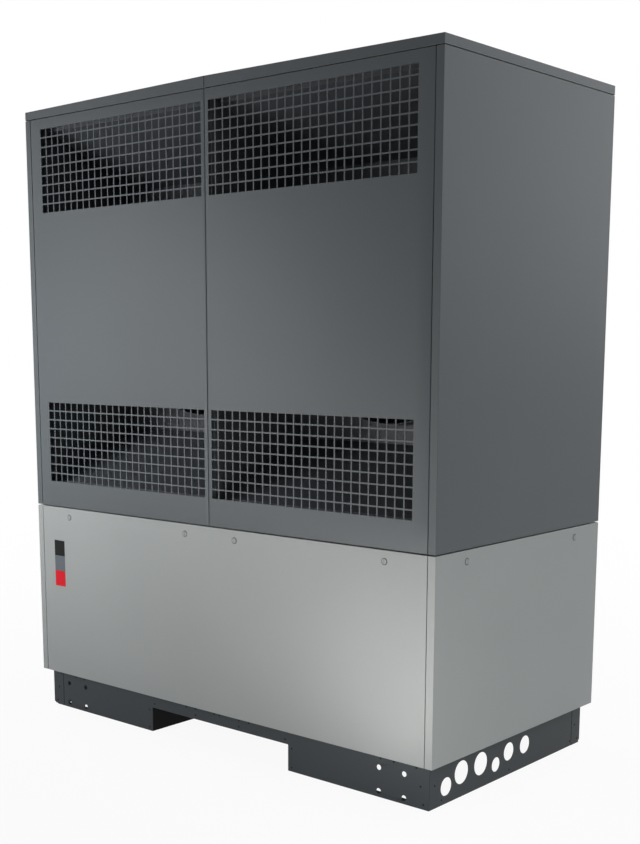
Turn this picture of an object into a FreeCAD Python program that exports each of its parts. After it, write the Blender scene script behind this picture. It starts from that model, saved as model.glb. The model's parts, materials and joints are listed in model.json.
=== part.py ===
import FreeCAD, Part
import math
import os
import re

import Sketcher

# Outdoor air-to-water heat pump with two fan sections over one machine compartment.
# X points right, Y points from the front to the back and Z points up.
# The origin lies on the ground under the middle of the unit. All lengths are in millimetres.

SIZES = {
    # overall cabinet
    "wide": 1900,
    "deep": 995,
    "eaves": 2281.5,
    "ridge_rise": 8.5,
    "fascia": 29.5,
    "roof_gap": 2,
    "ring_drop": 2,
    "skin": 1.5,
    "casing_deep": 28,
    "fold_gap": 0.3,
    "panel_gap": 2.3,
    "corner_strip": 27.7,
    "panel_lift": 0.5,
    "lower_top": 806,
    "waist_gap": 4,
    # plinth
    "plinth": 145,
    "plate": 3,
    "lip": 40,
    "fork_half": 338,
    "fork_top": 92,
    "corner_leg": 61,
    "corner_cut_wide": 25,
    "corner_cut_tall": 8,
    "anchor_inset": 147,
    "anchor_pitch_x": 100,
    "anchor_low": 20.3,
    "anchor_pitch_z": 78.5,
    "anchor_bore": 18,
    "bearer_inset": 302,
    "bearer_wide": 50,
    "bearer_tall": 57,
    # frame
    "post": 50,
    "ring": 53,
    "shelf": 30,
    "mullion_half": 15,
    "mullion_deep": 20,
    "stud_half": 15,
    "stud_deep": 20,
    "rafter": 30,
    "rafter_x": 460,
    "seam_clear": 2.5,
    # grilles
    "mesh": 29,
    "crossbar": 5,
    "rows": 9,
    "field_side": 16,
    "field_outer": 57,
    "field_top": 37.5,
    "field_bottom": 96.5,
    "intake_mesh": 63,
    "intake_bars": 15,
    "intake_edge": 60,
    # fans
    "fan_lift": 32,
    "wall_margin": 46.5,
    "tip_gap": 6,
    "fan_y": -45,
    "wall_y": -10,
    "wall_plate": 2,
    "wall_half": 478.5,
    "wall_flange": 25,
    "throat": 80,
    "hub_radius": 100,
    "hub_half": 50,
    "blades": 5,
    "blade_thick": 5,
    "blade_roll": 600,
    "blade_middle": 0.62,
    "blade_neck": 0.7,
    "blade_over": 1.1,
    "root_radius": 90,
    "root_turn": 30,
    "waist_turn": 24,
    "neck_turn": 18,
    "tip_lead": 32,
    "tip_trail": 16,
    "shaft": 10,
    "shaft_fit": 0.05,
    "shaft_long": 30,
    "motor_gap": 3,
    "motor_radius": 85,
    "motor_long": 52,
    "motor_foot": 0.8,
    "arm_wide": 30,
    "arm_land": 96,
    "arm_thick": 5,
    # inside the fan sections
    "tray_plate": 2,
    "tray_rim": 18,
    "baffle_front_gap": 29.5,
    "baffle_head_gap": 23,
    "baffle_foot_gap": 80,
    "baffle_lip": 14,
    "liner": 25,
    "liner_side": 40,
    "liner_gap": 8,
    "coil_back_gap": 27.5,
    "coil_deep": 90,
    "coil_side_gap": 30,
    "coil_foot_gap": 20,
    "coil_head_gap": 23,
    "coil_end": 2,
    "fin_grooves": 14,
    "fin_groove_wide": 10,
    "fin_groove_deep": 14,
    "header_gap": 30.7,
    "header_inset": 49.5,
    "header_radius": 14,
    # locks
    "lock_x": 120.5,
    "lock_far_inset": 190.5,
    "lock_side_inset": 139.5,
    "lock_drop": 35,
    "lock_head": 10,
    "lock_proud": 2.5,
    "lock_slot": 3,
    "lock_slot_deep": 1.5,
    "lock_stud": 4,
    "lock_hole_gap": 0.5,
    "catch_gap": 3,
    "lock_reach": 35,
    # refrigerant machine
    "floor_plate": 2,
    "compressor_x": 175,
    "compressor_shift": 25,
    "compressor_inset": 319.5,
    "machine_lift": 43,
    "shell_radius": 112,
    "shell_drop": 126,
    "foot_half": 120,
    "foot_plate": 6,
    "foot_bolt": 95,
    "terminal_half": 45,
    "terminal_deep": 35,
    "terminal_drop": 80,
    "terminal_tall": 120,
    "mount_radius": 18,
    "condenser_inset": 382,
    "condenser_deep": 120,
    "condenser_front": 139.5,
    "condenser_wide": 190,
    "condenser_drop": 66,
    "cover_plate": 10,
    "plate_inset": 4,
    "foot_inset": 20,
    "receiver_gap": 120,
    "receiver_radius": 70,
    "receiver_drop": 286,
    "accumulator_x": -300,
    "accumulator_radius": 80,
    "accumulator_drop": 246,
    "stand": 40,
    "stand_share": 0.7,
    "dome_share": 0.28,
    "valve_x": 35,
    "valve_drop": 86,
    "valve_radius": 28,
    "valve_half": 95,
    "valve_port": 70,
    "valve_block": 36,
    "suction_drop": 406,
    "discharge_radius": 11,
    "gas_pipe": 14,
    "liquid_pipe": 9,
    "liquid_gap": 20,
    "liquid_inset": 84.5,
    "bend": 40,
    "liquid_lift": 103,
    "branch_drop": 236,
    "box_inset": 42,
    "box_wide": 460,
    "box_front": 29.5,
    "box_deep": 150,
    "box_lift": 53,
    "box_drop": 86,
    # water side and pipe holes in the right side of the plinth
    "flow_inset": 178,
    "flow_hole": 77,
    "return_inset": 289.5,
    "return_hole": 77,
    "water_hole_z": 81,
    "water_inset": 84,
    "water_pipe": 27,
    "water_end_radius": 30.15,
    "water_end": 100,
    "nut_radius": 39,
    "nut_tall": 25,
    "nut_z": 140,
    "cable_hole": 60,
    "cable_inset": 93,
    "cable_z": 56,
    "small_hole": 49,
    "small_inset": 380,
    "small_z": 55,
    "spare_hole": 62,
    "spare_inset": 459,
    "end_hole": 62,
    "end_inset": 560,
    "spare_z": 80.5,
}

doc = FreeCAD.newDocument("HeatPump")
sheet = doc.addObject("Spreadsheet::Sheet", "Sizes")
for row, (alias, size) in enumerate(SIZES.items(), start=1):
    sheet.set(f"A{row}", str(size))
    sheet.setAlias(f"A{row}", alias)
doc.recompute()

# Places that several pieces share, worked out from the sizes.
PLACES = {
    # casing and frame
    "frame_x": "wide / 2 - casing_deep",
    "frame_y": "deep / 2 - casing_deep",
    "eaves_low": "eaves - fascia",
    "upper_top": "eaves_low - roof_gap",
    "upper_bottom": "lower_top + waist_gap",
    "waist": "lower_top + waist_gap / 2",
    "lower_bottom": "plinth + panel_lift",
    "strip_edge": "wide / 2 - corner_strip",
    "panel_edge": "strip_edge - panel_gap",
    "fold": "casing_deep - fold_gap",
    "ring_top": "upper_top - ring_drop",
    "stud_face": "frame_x - stud_deep",
    "anchor_x": "frame_x - anchor_inset",
    "bearer_x": "frame_x - bearer_inset",
    "floor_top": "plinth + floor_plate",
    "tray_top": "waist + tray_plate",
    "lock_far_x": "wide / 2 - lock_far_inset",
    "lock_side_y": "frame_y - lock_side_inset",
    "lock_z": "lower_top - lock_drop",
    # grilles
    "pitch": "mesh + crossbar",
    "door_width": "panel_edge - panel_gap / 2",
    "columns": "floor((door_width - field_side - field_outer + crossbar) / pitch)",
    "intake_columns": "floor((door_width - 2 * field_side + crossbar) / (intake_mesh + crossbar))",
    "field_tall": "rows * pitch - crossbar",
    # fan sections
    "fan_x": "(tray_plate / 2 + stud_face) / 2",
    "fan_z": "(upper_bottom + upper_top) / 2 + fan_lift",
    "ring_radius": "(stud_face - tray_plate / 2) / 2 - wall_margin",
    "fan_radius": "ring_radius - tip_gap",
    "arm_reach": "ring_radius + arm_land",
    "wall_front": "wall_y - wall_plate",
    "baffle_y": "baffle_front_gap - frame_y",
    "baffle_top": "ring_top - baffle_head_gap",
    "baffle_bottom": "upper_bottom + baffle_foot_gap",
    "header_x": "tray_plate / 2 + header_gap + header_radius",
    "header_y": "frame_y - header_inset",
    "coil_inner": "header_x + header_radius + fold_gap + coil_end",
    "coil_outer": "stud_face - coil_side_gap",
    "coil_front": "frame_y - coil_back_gap - coil_deep",
    "coil_bottom": "tray_top + coil_foot_gap",
    "coil_top": "ring_top - coil_head_gap",
    # refrigerant machine
    "machine_z": "floor_top + machine_lift",
    "compressor_y": "frame_y - compressor_inset",
    "shell_top": "lower_top - shell_drop",
    "terminal_high": "shell_top - terminal_drop",
    "condenser_x": "frame_x - condenser_inset",
    "condenser_y": "condenser_front - frame_y",
    "condenser_top": "lower_top - condenser_drop",
    "receiver_x": "condenser_x - receiver_gap",
    "receiver_y": "return_y",
    "receiver_top": "lower_top - receiver_drop",
    "accumulator_top": "lower_top - accumulator_drop",
    "valve_z": "lower_top - valve_drop",
    "valve_under": "valve_z - valve_block / 2",
    "valve_top": "valve_z + valve_block / 2",
    "valve_back": "receiver_y + valve_block / 2",
    "suction_z": "lower_top - suction_drop",
    "liquid_x": "coil_inner + liquid_gap",
    "liquid_y": "frame_y - liquid_inset",
    "liquid_z": "floor_top + liquid_lift",
    "branch_z": "lower_top - branch_drop",
    "box_x": "box_inset - frame_x",
    "box_y": "box_front - frame_y",
    "box_z": "floor_top + box_lift",
    "box_top": "lower_top - box_drop",
    # pipe holes, measured from the plinth's front
    "flow_y": "flow_inset - frame_y",
    "return_y": "return_inset - frame_y",
    "cable_y": "cable_inset - frame_y",
    "small_y": "small_inset - frame_y",
    "spare_y": "spare_inset - frame_y",
    "end_y": "end_inset - frame_y",
    "water_x": "frame_x - water_inset",
}

# A blade's pitch at its middle, the slant of the roll that it is bent on and how far the roll wraps.
# All three are in degrees.
BLADE_LEAN = 24
BLADE_TILT = 28
BLADE_WRAP = 60

# How many flat sides a straight bar has. Round pieces that repeat or are wide have flat sides to stay light.
SQUARE = 4
HEXAGON = 6
SMALL_ROUND = 8
LIGHT_ROUND = 12
PIPE_ROUND = 16
CASING_ROUND = 24
THROAT_ROUND = 48

subparts = []


def sized(formula):
    """Write out each place in a formula and point each size's name at the sheet."""
    def at_sheet(word):
        name = word.group()
        if name in PLACES:
            return f"({sized(PLACES[name])})"
        return f"Sizes.{name}" if name in SIZES else name
    return re.sub(r"[A-Za-z_]\w*", at_sheet, formula)


def number(formula):
    """The value of a formula now."""
    found = sheet.evalExpression(sized(formula))
    return float(getattr(found, "Value", found))


def bind(thing, prop, formula):
    thing.setExpression(prop, sized(formula))


def keep(thing, label):
    """Make a finished object a sub-part with its own name."""
    thing.Label = label
    subparts.append(thing)
    return thing


def block(name, low, high):
    """A box between two corners, each three formulas."""
    box = doc.addObject("Part::Box", name)
    for side, axis, start, end in zip(("Length", "Width", "Height"), "xyz", low, high):
        bind(box, side, f"({end}) - ({start})")
        bind(box, f"Placement.Base.{axis}", start)
    return box


AXES = {"x": FreeCAD.Vector(1, 0, 0), "y": FreeCAD.Vector(0, 1, 0), "z": FreeCAD.Vector(0, 0, 1)}


def along(thing, axis, start):
    """Turn a shape that stands on +Z to another axis and bind its place."""
    turn = FreeCAD.Rotation(FreeCAD.Vector(0, 0, 1), AXES[axis])
    thing.Placement = FreeCAD.Placement(FreeCAD.Vector(), turn)
    for letter, formula in zip("xyz", start):
        bind(thing, f"Placement.Base.{letter}", formula)
    return thing


def rod(name, axis, start, radius, length):
    """A round bar from a start point in the direction of an axis."""
    bar = doc.addObject("Part::Cylinder", name)
    bind(bar, "Radius", radius)
    bind(bar, "Height", length)
    return along(bar, axis, start)


def fuse(name, pieces):
    joined = doc.addObject("Part::MultiFuse", name)
    joined.Shapes = pieces
    joined.Refine = True
    return joined


def cut(name, base, tools):
    made = doc.addObject("Part::Cut", name)
    made.Base = base
    made.Tool = tools[0] if len(tools) == 1 else fuse(f"{name}_tools", tools)
    made.Refine = True
    return made


def common(name, first, second):
    made = doc.addObject("Part::Common", name)
    made.Base = first
    made.Tool = second
    return made


def group(name, pieces):
    """Separate solids that share one name."""
    made = doc.addObject("Part::Compound", name)
    made.Links = pieces
    return made


def prism(name, axis, start, radius, length, sides):
    """A straight bar with flat sides."""
    bar = doc.addObject("Part::Prism", name)
    bar.Polygon = sides
    bind(bar, "Circumradius", radius)
    bind(bar, "Height", length)
    return along(bar, axis, start)


def opposite(name, thing):
    """The same piece turned half round the upright axis of the unit."""
    turned = doc.addObject("Part::Compound", name)
    turned.Links = [thing]
    turned.Placement = FreeCAD.Placement(
        FreeCAD.Vector(), FreeCAD.Rotation(FreeCAD.Vector(0, 0, 1), 180)
    )
    return turned


def mirrored(name, thing):
    """The same piece on the other side of the unit's middle, from left to right."""
    mirror = doc.addObject("Part::Mirroring", name)
    mirror.Source = thing
    mirror.Normal = FreeCAD.Vector(1, 0, 0)
    return mirror


def origin_feature(body, role):
    return next(one for one in body.Origin.OriginFeatures if one.Role == role)


def outline(body, name, role, loops, lift="0"):
    """A sketch of straight-sided closed loops. Each corner is held from the origin by two bound distances."""
    sketch = body.newObject("Sketcher::SketchObject", name)
    sketch.AttachmentSupport = [(origin_feature(body, role), "")]
    sketch.MapMode = "FlatFace"
    bind(sketch, "AttachmentOffset.Base.z", lift)
    first = 0
    for corners in loops:
        points = [FreeCAD.Vector(number(across), number(up), 0) for across, up in corners]
        count = len(points)
        for place, point in enumerate(points):
            sketch.addGeometry(Part.LineSegment(point, points[(place + 1) % count]))
        for place in range(count):
            following = (place + 1) % count
            sketch.addConstraint(Sketcher.Constraint("Coincident", first + place, 2, first + following, 1))
        for place, (across, up) in enumerate(corners):
            hold(sketch, "DistanceX", first + place, across, points[place].x)
            hold(sketch, "DistanceY", first + place, up, points[place].y)
        first += count
    return sketch


def hold(sketch, kind, line, formula, value):
    """Bind one coordinate of a line's start point. A coordinate of zero lies on the sketch's axis."""
    if formula == "0":
        axis = -2 if kind == "DistanceX" else -1
        sketch.addConstraint(Sketcher.Constraint("PointOnObject", line, 1, axis))
        return
    index = sketch.addConstraint(Sketcher.Constraint(kind, -1, 1, line, 1, value))
    sketch.setExpression(f"Constraints[{index}]", sized(formula))


def rectangle(left, right, low, high):
    return [(left, low), (right, low), (right, high), (left, high)]


def pad(body, name, sketch, length, both_ways=False):
    feature = body.newObject("PartDesign::Pad", name)
    feature.Profile = sketch
    feature.Midplane = both_ways
    bind(feature, "Length", length)
    return feature


def pocket(body, name, sketch, length, reverse=False, both_ways=False):
    feature = body.newObject("PartDesign::Pocket", name)
    feature.Profile = sketch
    feature.Midplane = both_ways
    feature.Reversed = reverse
    bind(feature, "Length", length)
    return feature


def slope_top(body, name, feature, size):
    """Cut the edge of a feature's top face back at a slope."""
    doc.recompute()
    faces = feature.Shape.Faces
    top = max(range(len(faces)), key=lambda place: faces[place].CenterOfMass.z)
    chamfer = body.newObject("PartDesign::Chamfer", name)
    chamfer.Base = (feature, [f"Face{top + 1}"])
    bind(chamfer, "Size", size)
    return chamfer


def drum(name, centre, low, high, radius):
    """An upright vessel with flat sides that touch the given radius, and a dished top in two slopes."""
    body = doc.addObject("PartDesign::Body", name)
    for axis, formula in zip("xy", centre):
        bind(body, f"Placement.Base.{axis}", formula)
    step = 360 / CASING_ROUND
    corner = f"{radius} / cos({step / 2} deg)"
    ring = [polar(corner, step * (place + 0.5)) for place in range(CASING_ROUND)]
    plan = outline(body, f"{name}_plan", "XY_Plane", [ring], low)
    wall = pad(body, f"{name}_wall", plan, f"{high} - ({low})")
    shoulder = slope_top(body, f"{name}_shoulder", wall, f"dome_share * {radius}")
    slope_top(body, f"{name}_crown", shoulder, f"dome_share / 2 * {radius}")
    return body


def row_of(body, name, feature, sketch, count, pitch):
    """Repeat a feature along the sketch's own horizontal axis."""
    pattern = body.newObject("PartDesign::LinearPattern", name)
    pattern.Originals = [feature]
    pattern.Direction = (sketch, ["H_Axis"])
    pattern.Mode = "Spacing"
    bind(pattern, "Offset", pitch)
    bind(pattern, "Occurrences", count)
    body.Tip = pattern
    return pattern


# Plinth


def plinth_rail(name, low_x, high_x, holes):
    """The front rail: a web with a shelf above and a lip below, folded from one plate."""
    back = "-frame_y + plate"
    web = block(f"{name}_web", (low_x, "-frame_y", "0"), (high_x, back, "plinth"))
    shelf = block(f"{name}_shelf", ("-frame_x + lip", back, "plinth - plate"),
                  ("frame_x - lip", "-frame_y + lip", "plinth"))
    foot = block(f"{name}_foot", ("-frame_x + lip", back, "0"),
                 ("frame_x - lip", "-frame_y + lip", "plate"))
    return cut(name, fuse(f"{name}_sheet", [web, shelf, foot]), holes)


def fork_openings():
    """The mouth for the forks in a long rail, and the gap in its foot."""
    front = "-frame_y - plate"
    mouth = block("fork_mouth", ("-fork_half", front, "-plate"),
                  ("fork_half", "-frame_y + 2 * plate", "fork_top"))
    foot_gap = block("fork_foot_gap", ("-fork_half - plate", "-frame_y + plate", "-plate"),
                     ("fork_half + plate", "-frame_y + 2 * lip", "2 * plate"))
    return [mouth, foot_gap]


def anchor_bores():
    """Four anchor holes near each end of the front rail."""
    bores = []
    for side in ("-1", "1"):
        for column in ("-0.5", "0.5"):
            for level in ("0", "1"):
                place = (f"{side} * anchor_x + {column} * anchor_pitch_x", "-frame_y - plate",
                         f"anchor_low + {level} * anchor_pitch_z")
                bores.append(rod("anchor_bore", "y", place, "anchor_bore / 2", "3 * plate"))
    return bores


def make_long_rails():
    """The front rail with its anchor holes, and the plain rear rail."""
    left = "-frame_x + corner_leg"
    front = plinth_rail("front_rail_sheet", left, "frame_x", fork_openings() + anchor_bores())
    keep(group("front_rail", [front]), "base_front_rail")
    rear = plinth_rail("rear_rail_sheet", left, "frame_x", fork_openings())
    keep(opposite("rear_rail", rear), "base_rear_rail")


def side_rail(name, holes):
    """The right side rail, between the front rail's end and the rear corner plate."""
    inner = "frame_x - plate"
    low_y = "-frame_y + plate"
    web = block(f"{name}_web", (inner, low_y, "0"), ("frame_x", "frame_y - corner_leg", "plinth"))
    shelf = block(f"{name}_shelf", ("frame_x - lip", "-frame_y + lip", "plinth - plate"),
                  (inner, "frame_y - lip", "plinth"))
    foot = block(f"{name}_foot", ("frame_x - lip", "-frame_y + lip", "0"),
                 (inner, "frame_y - lip", "plate"))
    sheet_metal = fuse(f"{name}_sheet", [web, shelf, foot])
    return cut(name, sheet_metal, holes) if holes else sheet_metal


def make_side_rails():
    holes = []
    for name, across, up, bore in (
        ("cable_hole", "cable_y", "cable_z", "cable_hole"),
        ("flow_hole", "flow_y", "water_hole_z", "flow_hole"),
        ("return_hole", "return_y", "water_hole_z", "return_hole"),
        ("small_hole", "small_y", "small_z", "small_hole"),
        ("spare_hole", "spare_y", "spare_z", "spare_hole"),
        ("end_hole", "end_y", "spare_z", "end_hole"),
    ):
        holes.append(rod(name, "x", ("frame_x - 2 * plate", across, up), f"{bore} / 2", "3 * plate"))
    keep(group("right_rail", [side_rail("right_rail_sheet", holes)]), "base_right_rail")
    keep(opposite("left_rail", side_rail("left_rail_sheet", [])), "base_left_rail")


def corner_plate():
    """The folded plate that closes the front left corner, with its lower edges cut back on a slope."""
    left = "-frame_x"
    front = "-frame_y"
    legs = fuse("corner_legs", [
        block("corner_front_leg", (left, front, "0"), (f"{left} + corner_leg", f"{front} + plate", "plinth")),
        block("corner_side_leg", (left, f"{front} + plate", "0"),
              (f"{left} + plate", f"{front} + corner_leg", "plinth")),
    ])
    body = doc.addObject("PartDesign::Body", "corner_slope")
    for axis, formula in zip("xy", (left, front)):
        bind(body, f"Placement.Base.{axis}", formula)
    slope = outline(body, "slope_outline", "XZ_Plane",
                    [[("0", "0"), ("corner_cut_wide", "0"), ("0", "corner_cut_tall")]])
    pad(body, "slope_wedge", slope, "4 * plate", both_ways=True)
    return cut("front_left_corner", legs, [body])


def make_corner_plates():
    front_left = corner_plate()
    keep(group("corners", [front_left, opposite("rear_right_corner", front_left)]), "base_corner_plates")


def make_fork_tunnel():
    """A folded channel that guides the forks from the front to the back."""
    end = "frame_y - plate"
    flange_end = "frame_y - lip"
    pieces = [block("tunnel_roof", ("-fork_half - plate", f"-({end})", "fork_top"),
                    ("fork_half + plate", end, "fork_top + plate"))]
    for side in ("left", "right"):
        wall = ("-fork_half - plate", "-fork_half") if side == "left" else ("fork_half", "fork_half + plate")
        flange = ("-fork_half - lip", "-fork_half") if side == "left" else ("fork_half", "fork_half + lip")
        pieces.append(block(f"tunnel_{side}_wall", (wall[0], f"-({end})", "0"), (wall[1], end, "fork_top")))
        pieces.append(block(f"tunnel_{side}_flange", (flange[0], f"-({flange_end})", "0"),
                            (flange[1], flange_end, "plate")))
    keep(fuse("tunnel", pieces), "fork_tunnel")


def make_bearers():
    """Channels under the floor, at each side of the forks and over them."""
    end = "frame_y - plate"
    low = "plinth - plate - bearer_tall"
    pieces = []
    for side in ("-1", "1"):
        centre = f"{side} * bearer_x"
        outer = block("bearer", (f"{centre} - bearer_wide / 2", "-(frame_y - lip)", low),
                      (f"{centre} + bearer_wide / 2", "frame_y - lip", "plinth"))
        inner = block("bearer_hollow", (f"{centre} - bearer_wide / 2 + plate", f"-({end})", f"{low} - plate"),
                      (f"{centre} + bearer_wide / 2 - plate", end, "plinth - plate"))
        pieces.append(cut("bearer_channel", outer, [inner]))
    middle = block("middle_bearer", ("-bearer_wide / 2", "-(frame_y - lip)", "fork_top + plate"),
                   ("bearer_wide / 2", "frame_y - lip", "plinth"))
    middle_hollow = block("middle_hollow", ("-bearer_wide / 2 + plate", f"-({end})", "fork_top"),
                          ("bearer_wide / 2 - plate", end, "plinth - plate"))
    pieces.append(cut("middle_channel", middle, [middle_hollow]))
    keep(group("bearers", pieces), "base_bearers")


def make_floor():
    """The compartment's floor, cut out for the two water pipes."""
    edge_x = "frame_x - plate"
    edge_y = "frame_y - plate"
    floor = block("floor_sheet", (f"-({edge_x})", f"-({edge_y})", "plinth"), (edge_x, edge_y, "floor_top"))
    holes = [square_hole("water_x", place_y, "nut_radius + catch_gap", "plinth - plate", "4 * plate")
             for place_y in ("flow_y", "return_y")]
    keep(cut("floor", floor, holes), "machine_floor")


def square_hole(place_x, place_y, half, low, tall):
    """A square cutter about an upright line."""
    return block("square_hole", (f"{place_x} - ({half})", f"{place_y} - ({half})", low),
                 (f"{place_x} + ({half})", f"{place_y} + ({half})", f"{low} + {tall}"))


# Frame


def angle_post(name, side_x, side_y):
    """An upright of folded angle whose outer faces lie in the frame's planes."""
    def span(side, centre, reach):
        return (f"{centre} - {reach}", centre) if side > 0 else (f"-{centre}", f"-{centre} + {reach}")
    wide_x = span(side_x, "frame_x", "post")
    thin_x = span(side_x, "frame_x", "plate")
    wide_y = span(side_y, "frame_y", "post")
    thin_y = span(side_y, "frame_y", "plate")
    low, high = "plinth", "ring_top"
    return fuse(name, [
        block(f"{name}_front_leg", (wide_x[0], thin_y[0], low), (wide_x[1], thin_y[1], high)),
        block(f"{name}_side_leg", (thin_x[0], wide_y[0], low), (thin_x[1], wide_y[1], high)),
    ])


def make_posts():
    """Four corner posts and a stud at the middle of each side."""
    posts = [angle_post(f"post_{place}", side_x, side_y)
             for place, (side_x, side_y) in enumerate([(-1, -1), (1, -1), (1, 1), (-1, 1)])]
    web = "(frame_x - plate)"
    for side, (low, high) in {"left": (f"-{web}", "-stud_face"), "right": ("stud_face", web)}.items():
        posts.append(block(f"{side}_stud", (low, "-stud_half", "waist"),
                           (high, "stud_half", "ring_top - plate")))
    keep(group("uprights", posts), "frame_uprights")


def ring_frame(name, top, tall, holes):
    """Four angle rails between the corner posts: a web in the frame's plane and a shelf at its top."""
    rails = []
    end_x = "frame_x - post"
    end_y = "frame_y - post"
    low = f"{top} - {tall}"
    under = f"{top} - plate"
    for side in ("-1", "1"):
        near, far = ("-frame_y", "-frame_y + plate") if side == "-1" else ("frame_y - plate", "frame_y")
        shelf = (far, "-frame_y + shelf") if side == "-1" else ("frame_y - shelf", near)
        rails.append(fuse(f"{name}_long_rail", [
            block("long_web", (f"-({end_x})", near, low), (end_x, far, top)),
            block("long_shelf", (f"-({end_x})", shelf[0], under), (end_x, shelf[1], top)),
        ]))
        near, far = ("-frame_x", "-frame_x + plate") if side == "-1" else ("frame_x - plate", "frame_x")
        shelf = (far, "-frame_x + shelf") if side == "-1" else ("frame_x - shelf", near)
        rails.append(fuse(f"{name}_side_rail", [
            block("side_web", (near, f"-({end_y})", low), (far, end_y, top)),
            block("side_shelf", (shelf[0], f"-({end_y})", under), (shelf[1], end_y, top)),
        ]))
    if not holes:
        return group(name, rails)
    return cut(name, group(f"{name}_rails", rails), holes)


def lock_places():
    """Each lock's name, its place in the unit and the turn of its panel."""
    places = []
    for order, across in enumerate(("-lock_far_x", "-lock_x", "lock_x", "lock_far_x"), start=1):
        places.append((f"front_lock_{order}", across, "-deep / 2", 0))
        places.append((f"rear_lock_{order}", across, "deep / 2", 180))
    for order, across in enumerate(("-lock_side_y", "lock_side_y"), start=1):
        places.append((f"right_lock_{order}", "wide / 2", across, 90))
        places.append((f"left_lock_{order}", "-wide / 2", across, -90))
    return places


def lock_openings(half):
    """Square openings through the front, the back and both sides at the locks' places."""
    openings = []
    for across in ("-lock_far_x", "-lock_x", "lock_x", "lock_far_x"):
        openings.append(block("lock_opening", (f"{across} - ({half})", "-deep", f"lock_z - ({half})"),
                              (f"{across} + {half}", "deep", f"lock_z + {half}")))
    for across in ("-lock_side_y", "lock_side_y"):
        openings.append(block("lock_opening", ("-wide", f"{across} - ({half})", f"lock_z - ({half})"),
                              ("wide", f"{across} + {half}", f"lock_z + {half}")))
    return openings


def make_rings():
    keep(ring_frame("waist_ring", "waist", "ring", lock_openings("lock_stud + catch_gap")), "mid_frame")
    keep(ring_frame("roof_ring", "ring_top", "shelf", []), "top_frame")


def make_mullions():
    """The upright behind the seam between the doors, at the front and at the back."""
    low = "waist"
    high = "ring_top - plate"
    back = "-frame_y + mullion_deep + plate"
    front = block("mullion", ("-mullion_half", "-frame_y + plate", low), ("mullion_half", back, high))
    hollow = block("mullion_hollow", ("-mullion_half + plate / 2", "-frame_y + 1.5 * plate", low),
                   ("mullion_half - plate / 2", f"{back} + plate", high))
    front_channel = cut("front_mullion", front, [hollow])
    keep(group("mullions", [front_channel, opposite("rear_mullion", front_channel)]), "centre_mullions")


def make_partition():
    """The sheet that keeps the two fan sections apart."""
    half = "tray_plate / 2"
    edge = "frame_y - mullion_deep - plate"
    keep(block("partition", (f"-{half}", f"-({edge})", "tray_top"), (half, edge, "ring_top - plate")),
         "centre_partition")


def make_rafters():
    """Bars across the roof ring that carry the roof sheets on their slope."""
    bars = []
    for low in ("seam_clear", "rafter_x - rafter / 2", "frame_x - rafter"):
        far = f"({low} + rafter)"
        high = f"eaves + ridge_rise * (1 - 2 * {far} / wide) - skin - fold_gap"
        outer = block("rafter", (low, "-frame_y", "ring_top"), (far, "frame_y", high))
        hollow = block("rafter_hollow", (f"{low} + skin", "-frame_y - plate", "ring_top - plate"),
                       (f"{far} - skin", "frame_y + plate", f"{high} - skin"))
        bars.append(cut("rafter_channel", outer, [hollow]))
    right = group("right_rafters", bars)
    keep(group("rafters", [right, mirrored("left_rafters", right)]), "roof_rafters")


# Casing


def tray(name, low, high, open_side, walls):
    """A folded tray: a box whose hollow opens on one side, with a thickness for each other wall."""
    outer = block(f"{name}_outer", low, high)
    inner_low = [f"{start} + {wall}" for start, wall in zip(low, walls[0])]
    inner_high = [f"{end} - {wall}" for end, wall in zip(high, walls[1])]
    axis = "xyz".index(open_side[1])
    if open_side[0] == "-":
        inner_low[axis] = f"{low[axis]} - plate"
    else:
        inner_high[axis] = f"{high[axis]} + plate"
    return cut(name, outer, [block(f"{name}_hollow", inner_low, inner_high)])


def side_panel(name, low_z, high_z, bores):
    """A right side panel that wraps round both corners and ends in folded edges."""
    skins = ("skin", "skin", "skin")
    shell = tray(f"{name}_shell", ("strip_edge", "-deep / 2", low_z), ("wide / 2", "deep / 2", high_z),
                 "-x", (skins, skins))
    folds = []
    for near, far in (("-deep / 2 + skin", "-deep / 2 + fold"), ("deep / 2 - fold", "deep / 2 - skin")):
        folds.append(block(f"{name}_fold", ("strip_edge", near, low_z), ("strip_edge + skin", far, high_z)))
    whole = fuse(f"{name}_sheet", [shell] + folds)
    return cut(name, whole, bores) if bores else whole


def make_side_panels():
    upper = side_panel("upper_side", "upper_bottom", "upper_top", [])
    keep(group("upper_right", [upper]), "upper_right_panel")
    keep(opposite("upper_left", upper), "upper_left_panel")
    bores = lock_openings("lock_stud + lock_hole_gap")[-2:]
    lower = side_panel("lower_side", "lower_bottom", "lower_top", bores)
    keep(group("lower_right", [lower]), "lower_right_panel")
    keep(opposite("lower_left", lower), "lower_left_panel")


def make_lower_panels():
    """The front and rear panels of the machine compartment, held by quarter-turn locks."""
    shell = tray("lower_tray", ("-panel_edge", "-deep / 2", "lower_bottom"),
                 ("panel_edge", "-deep / 2 + fold", "lower_top"), "+y", (("skin",) * 3, ("skin",) * 3))
    bores = lock_openings("lock_stud + lock_hole_gap")[:4]
    panel = cut("lower_front", shell, bores)
    keep(group("lower_front_sheet", [panel]), "lower_front_panel")
    keep(opposite("lower_rear_sheet", panel), "lower_rear_panel")


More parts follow.
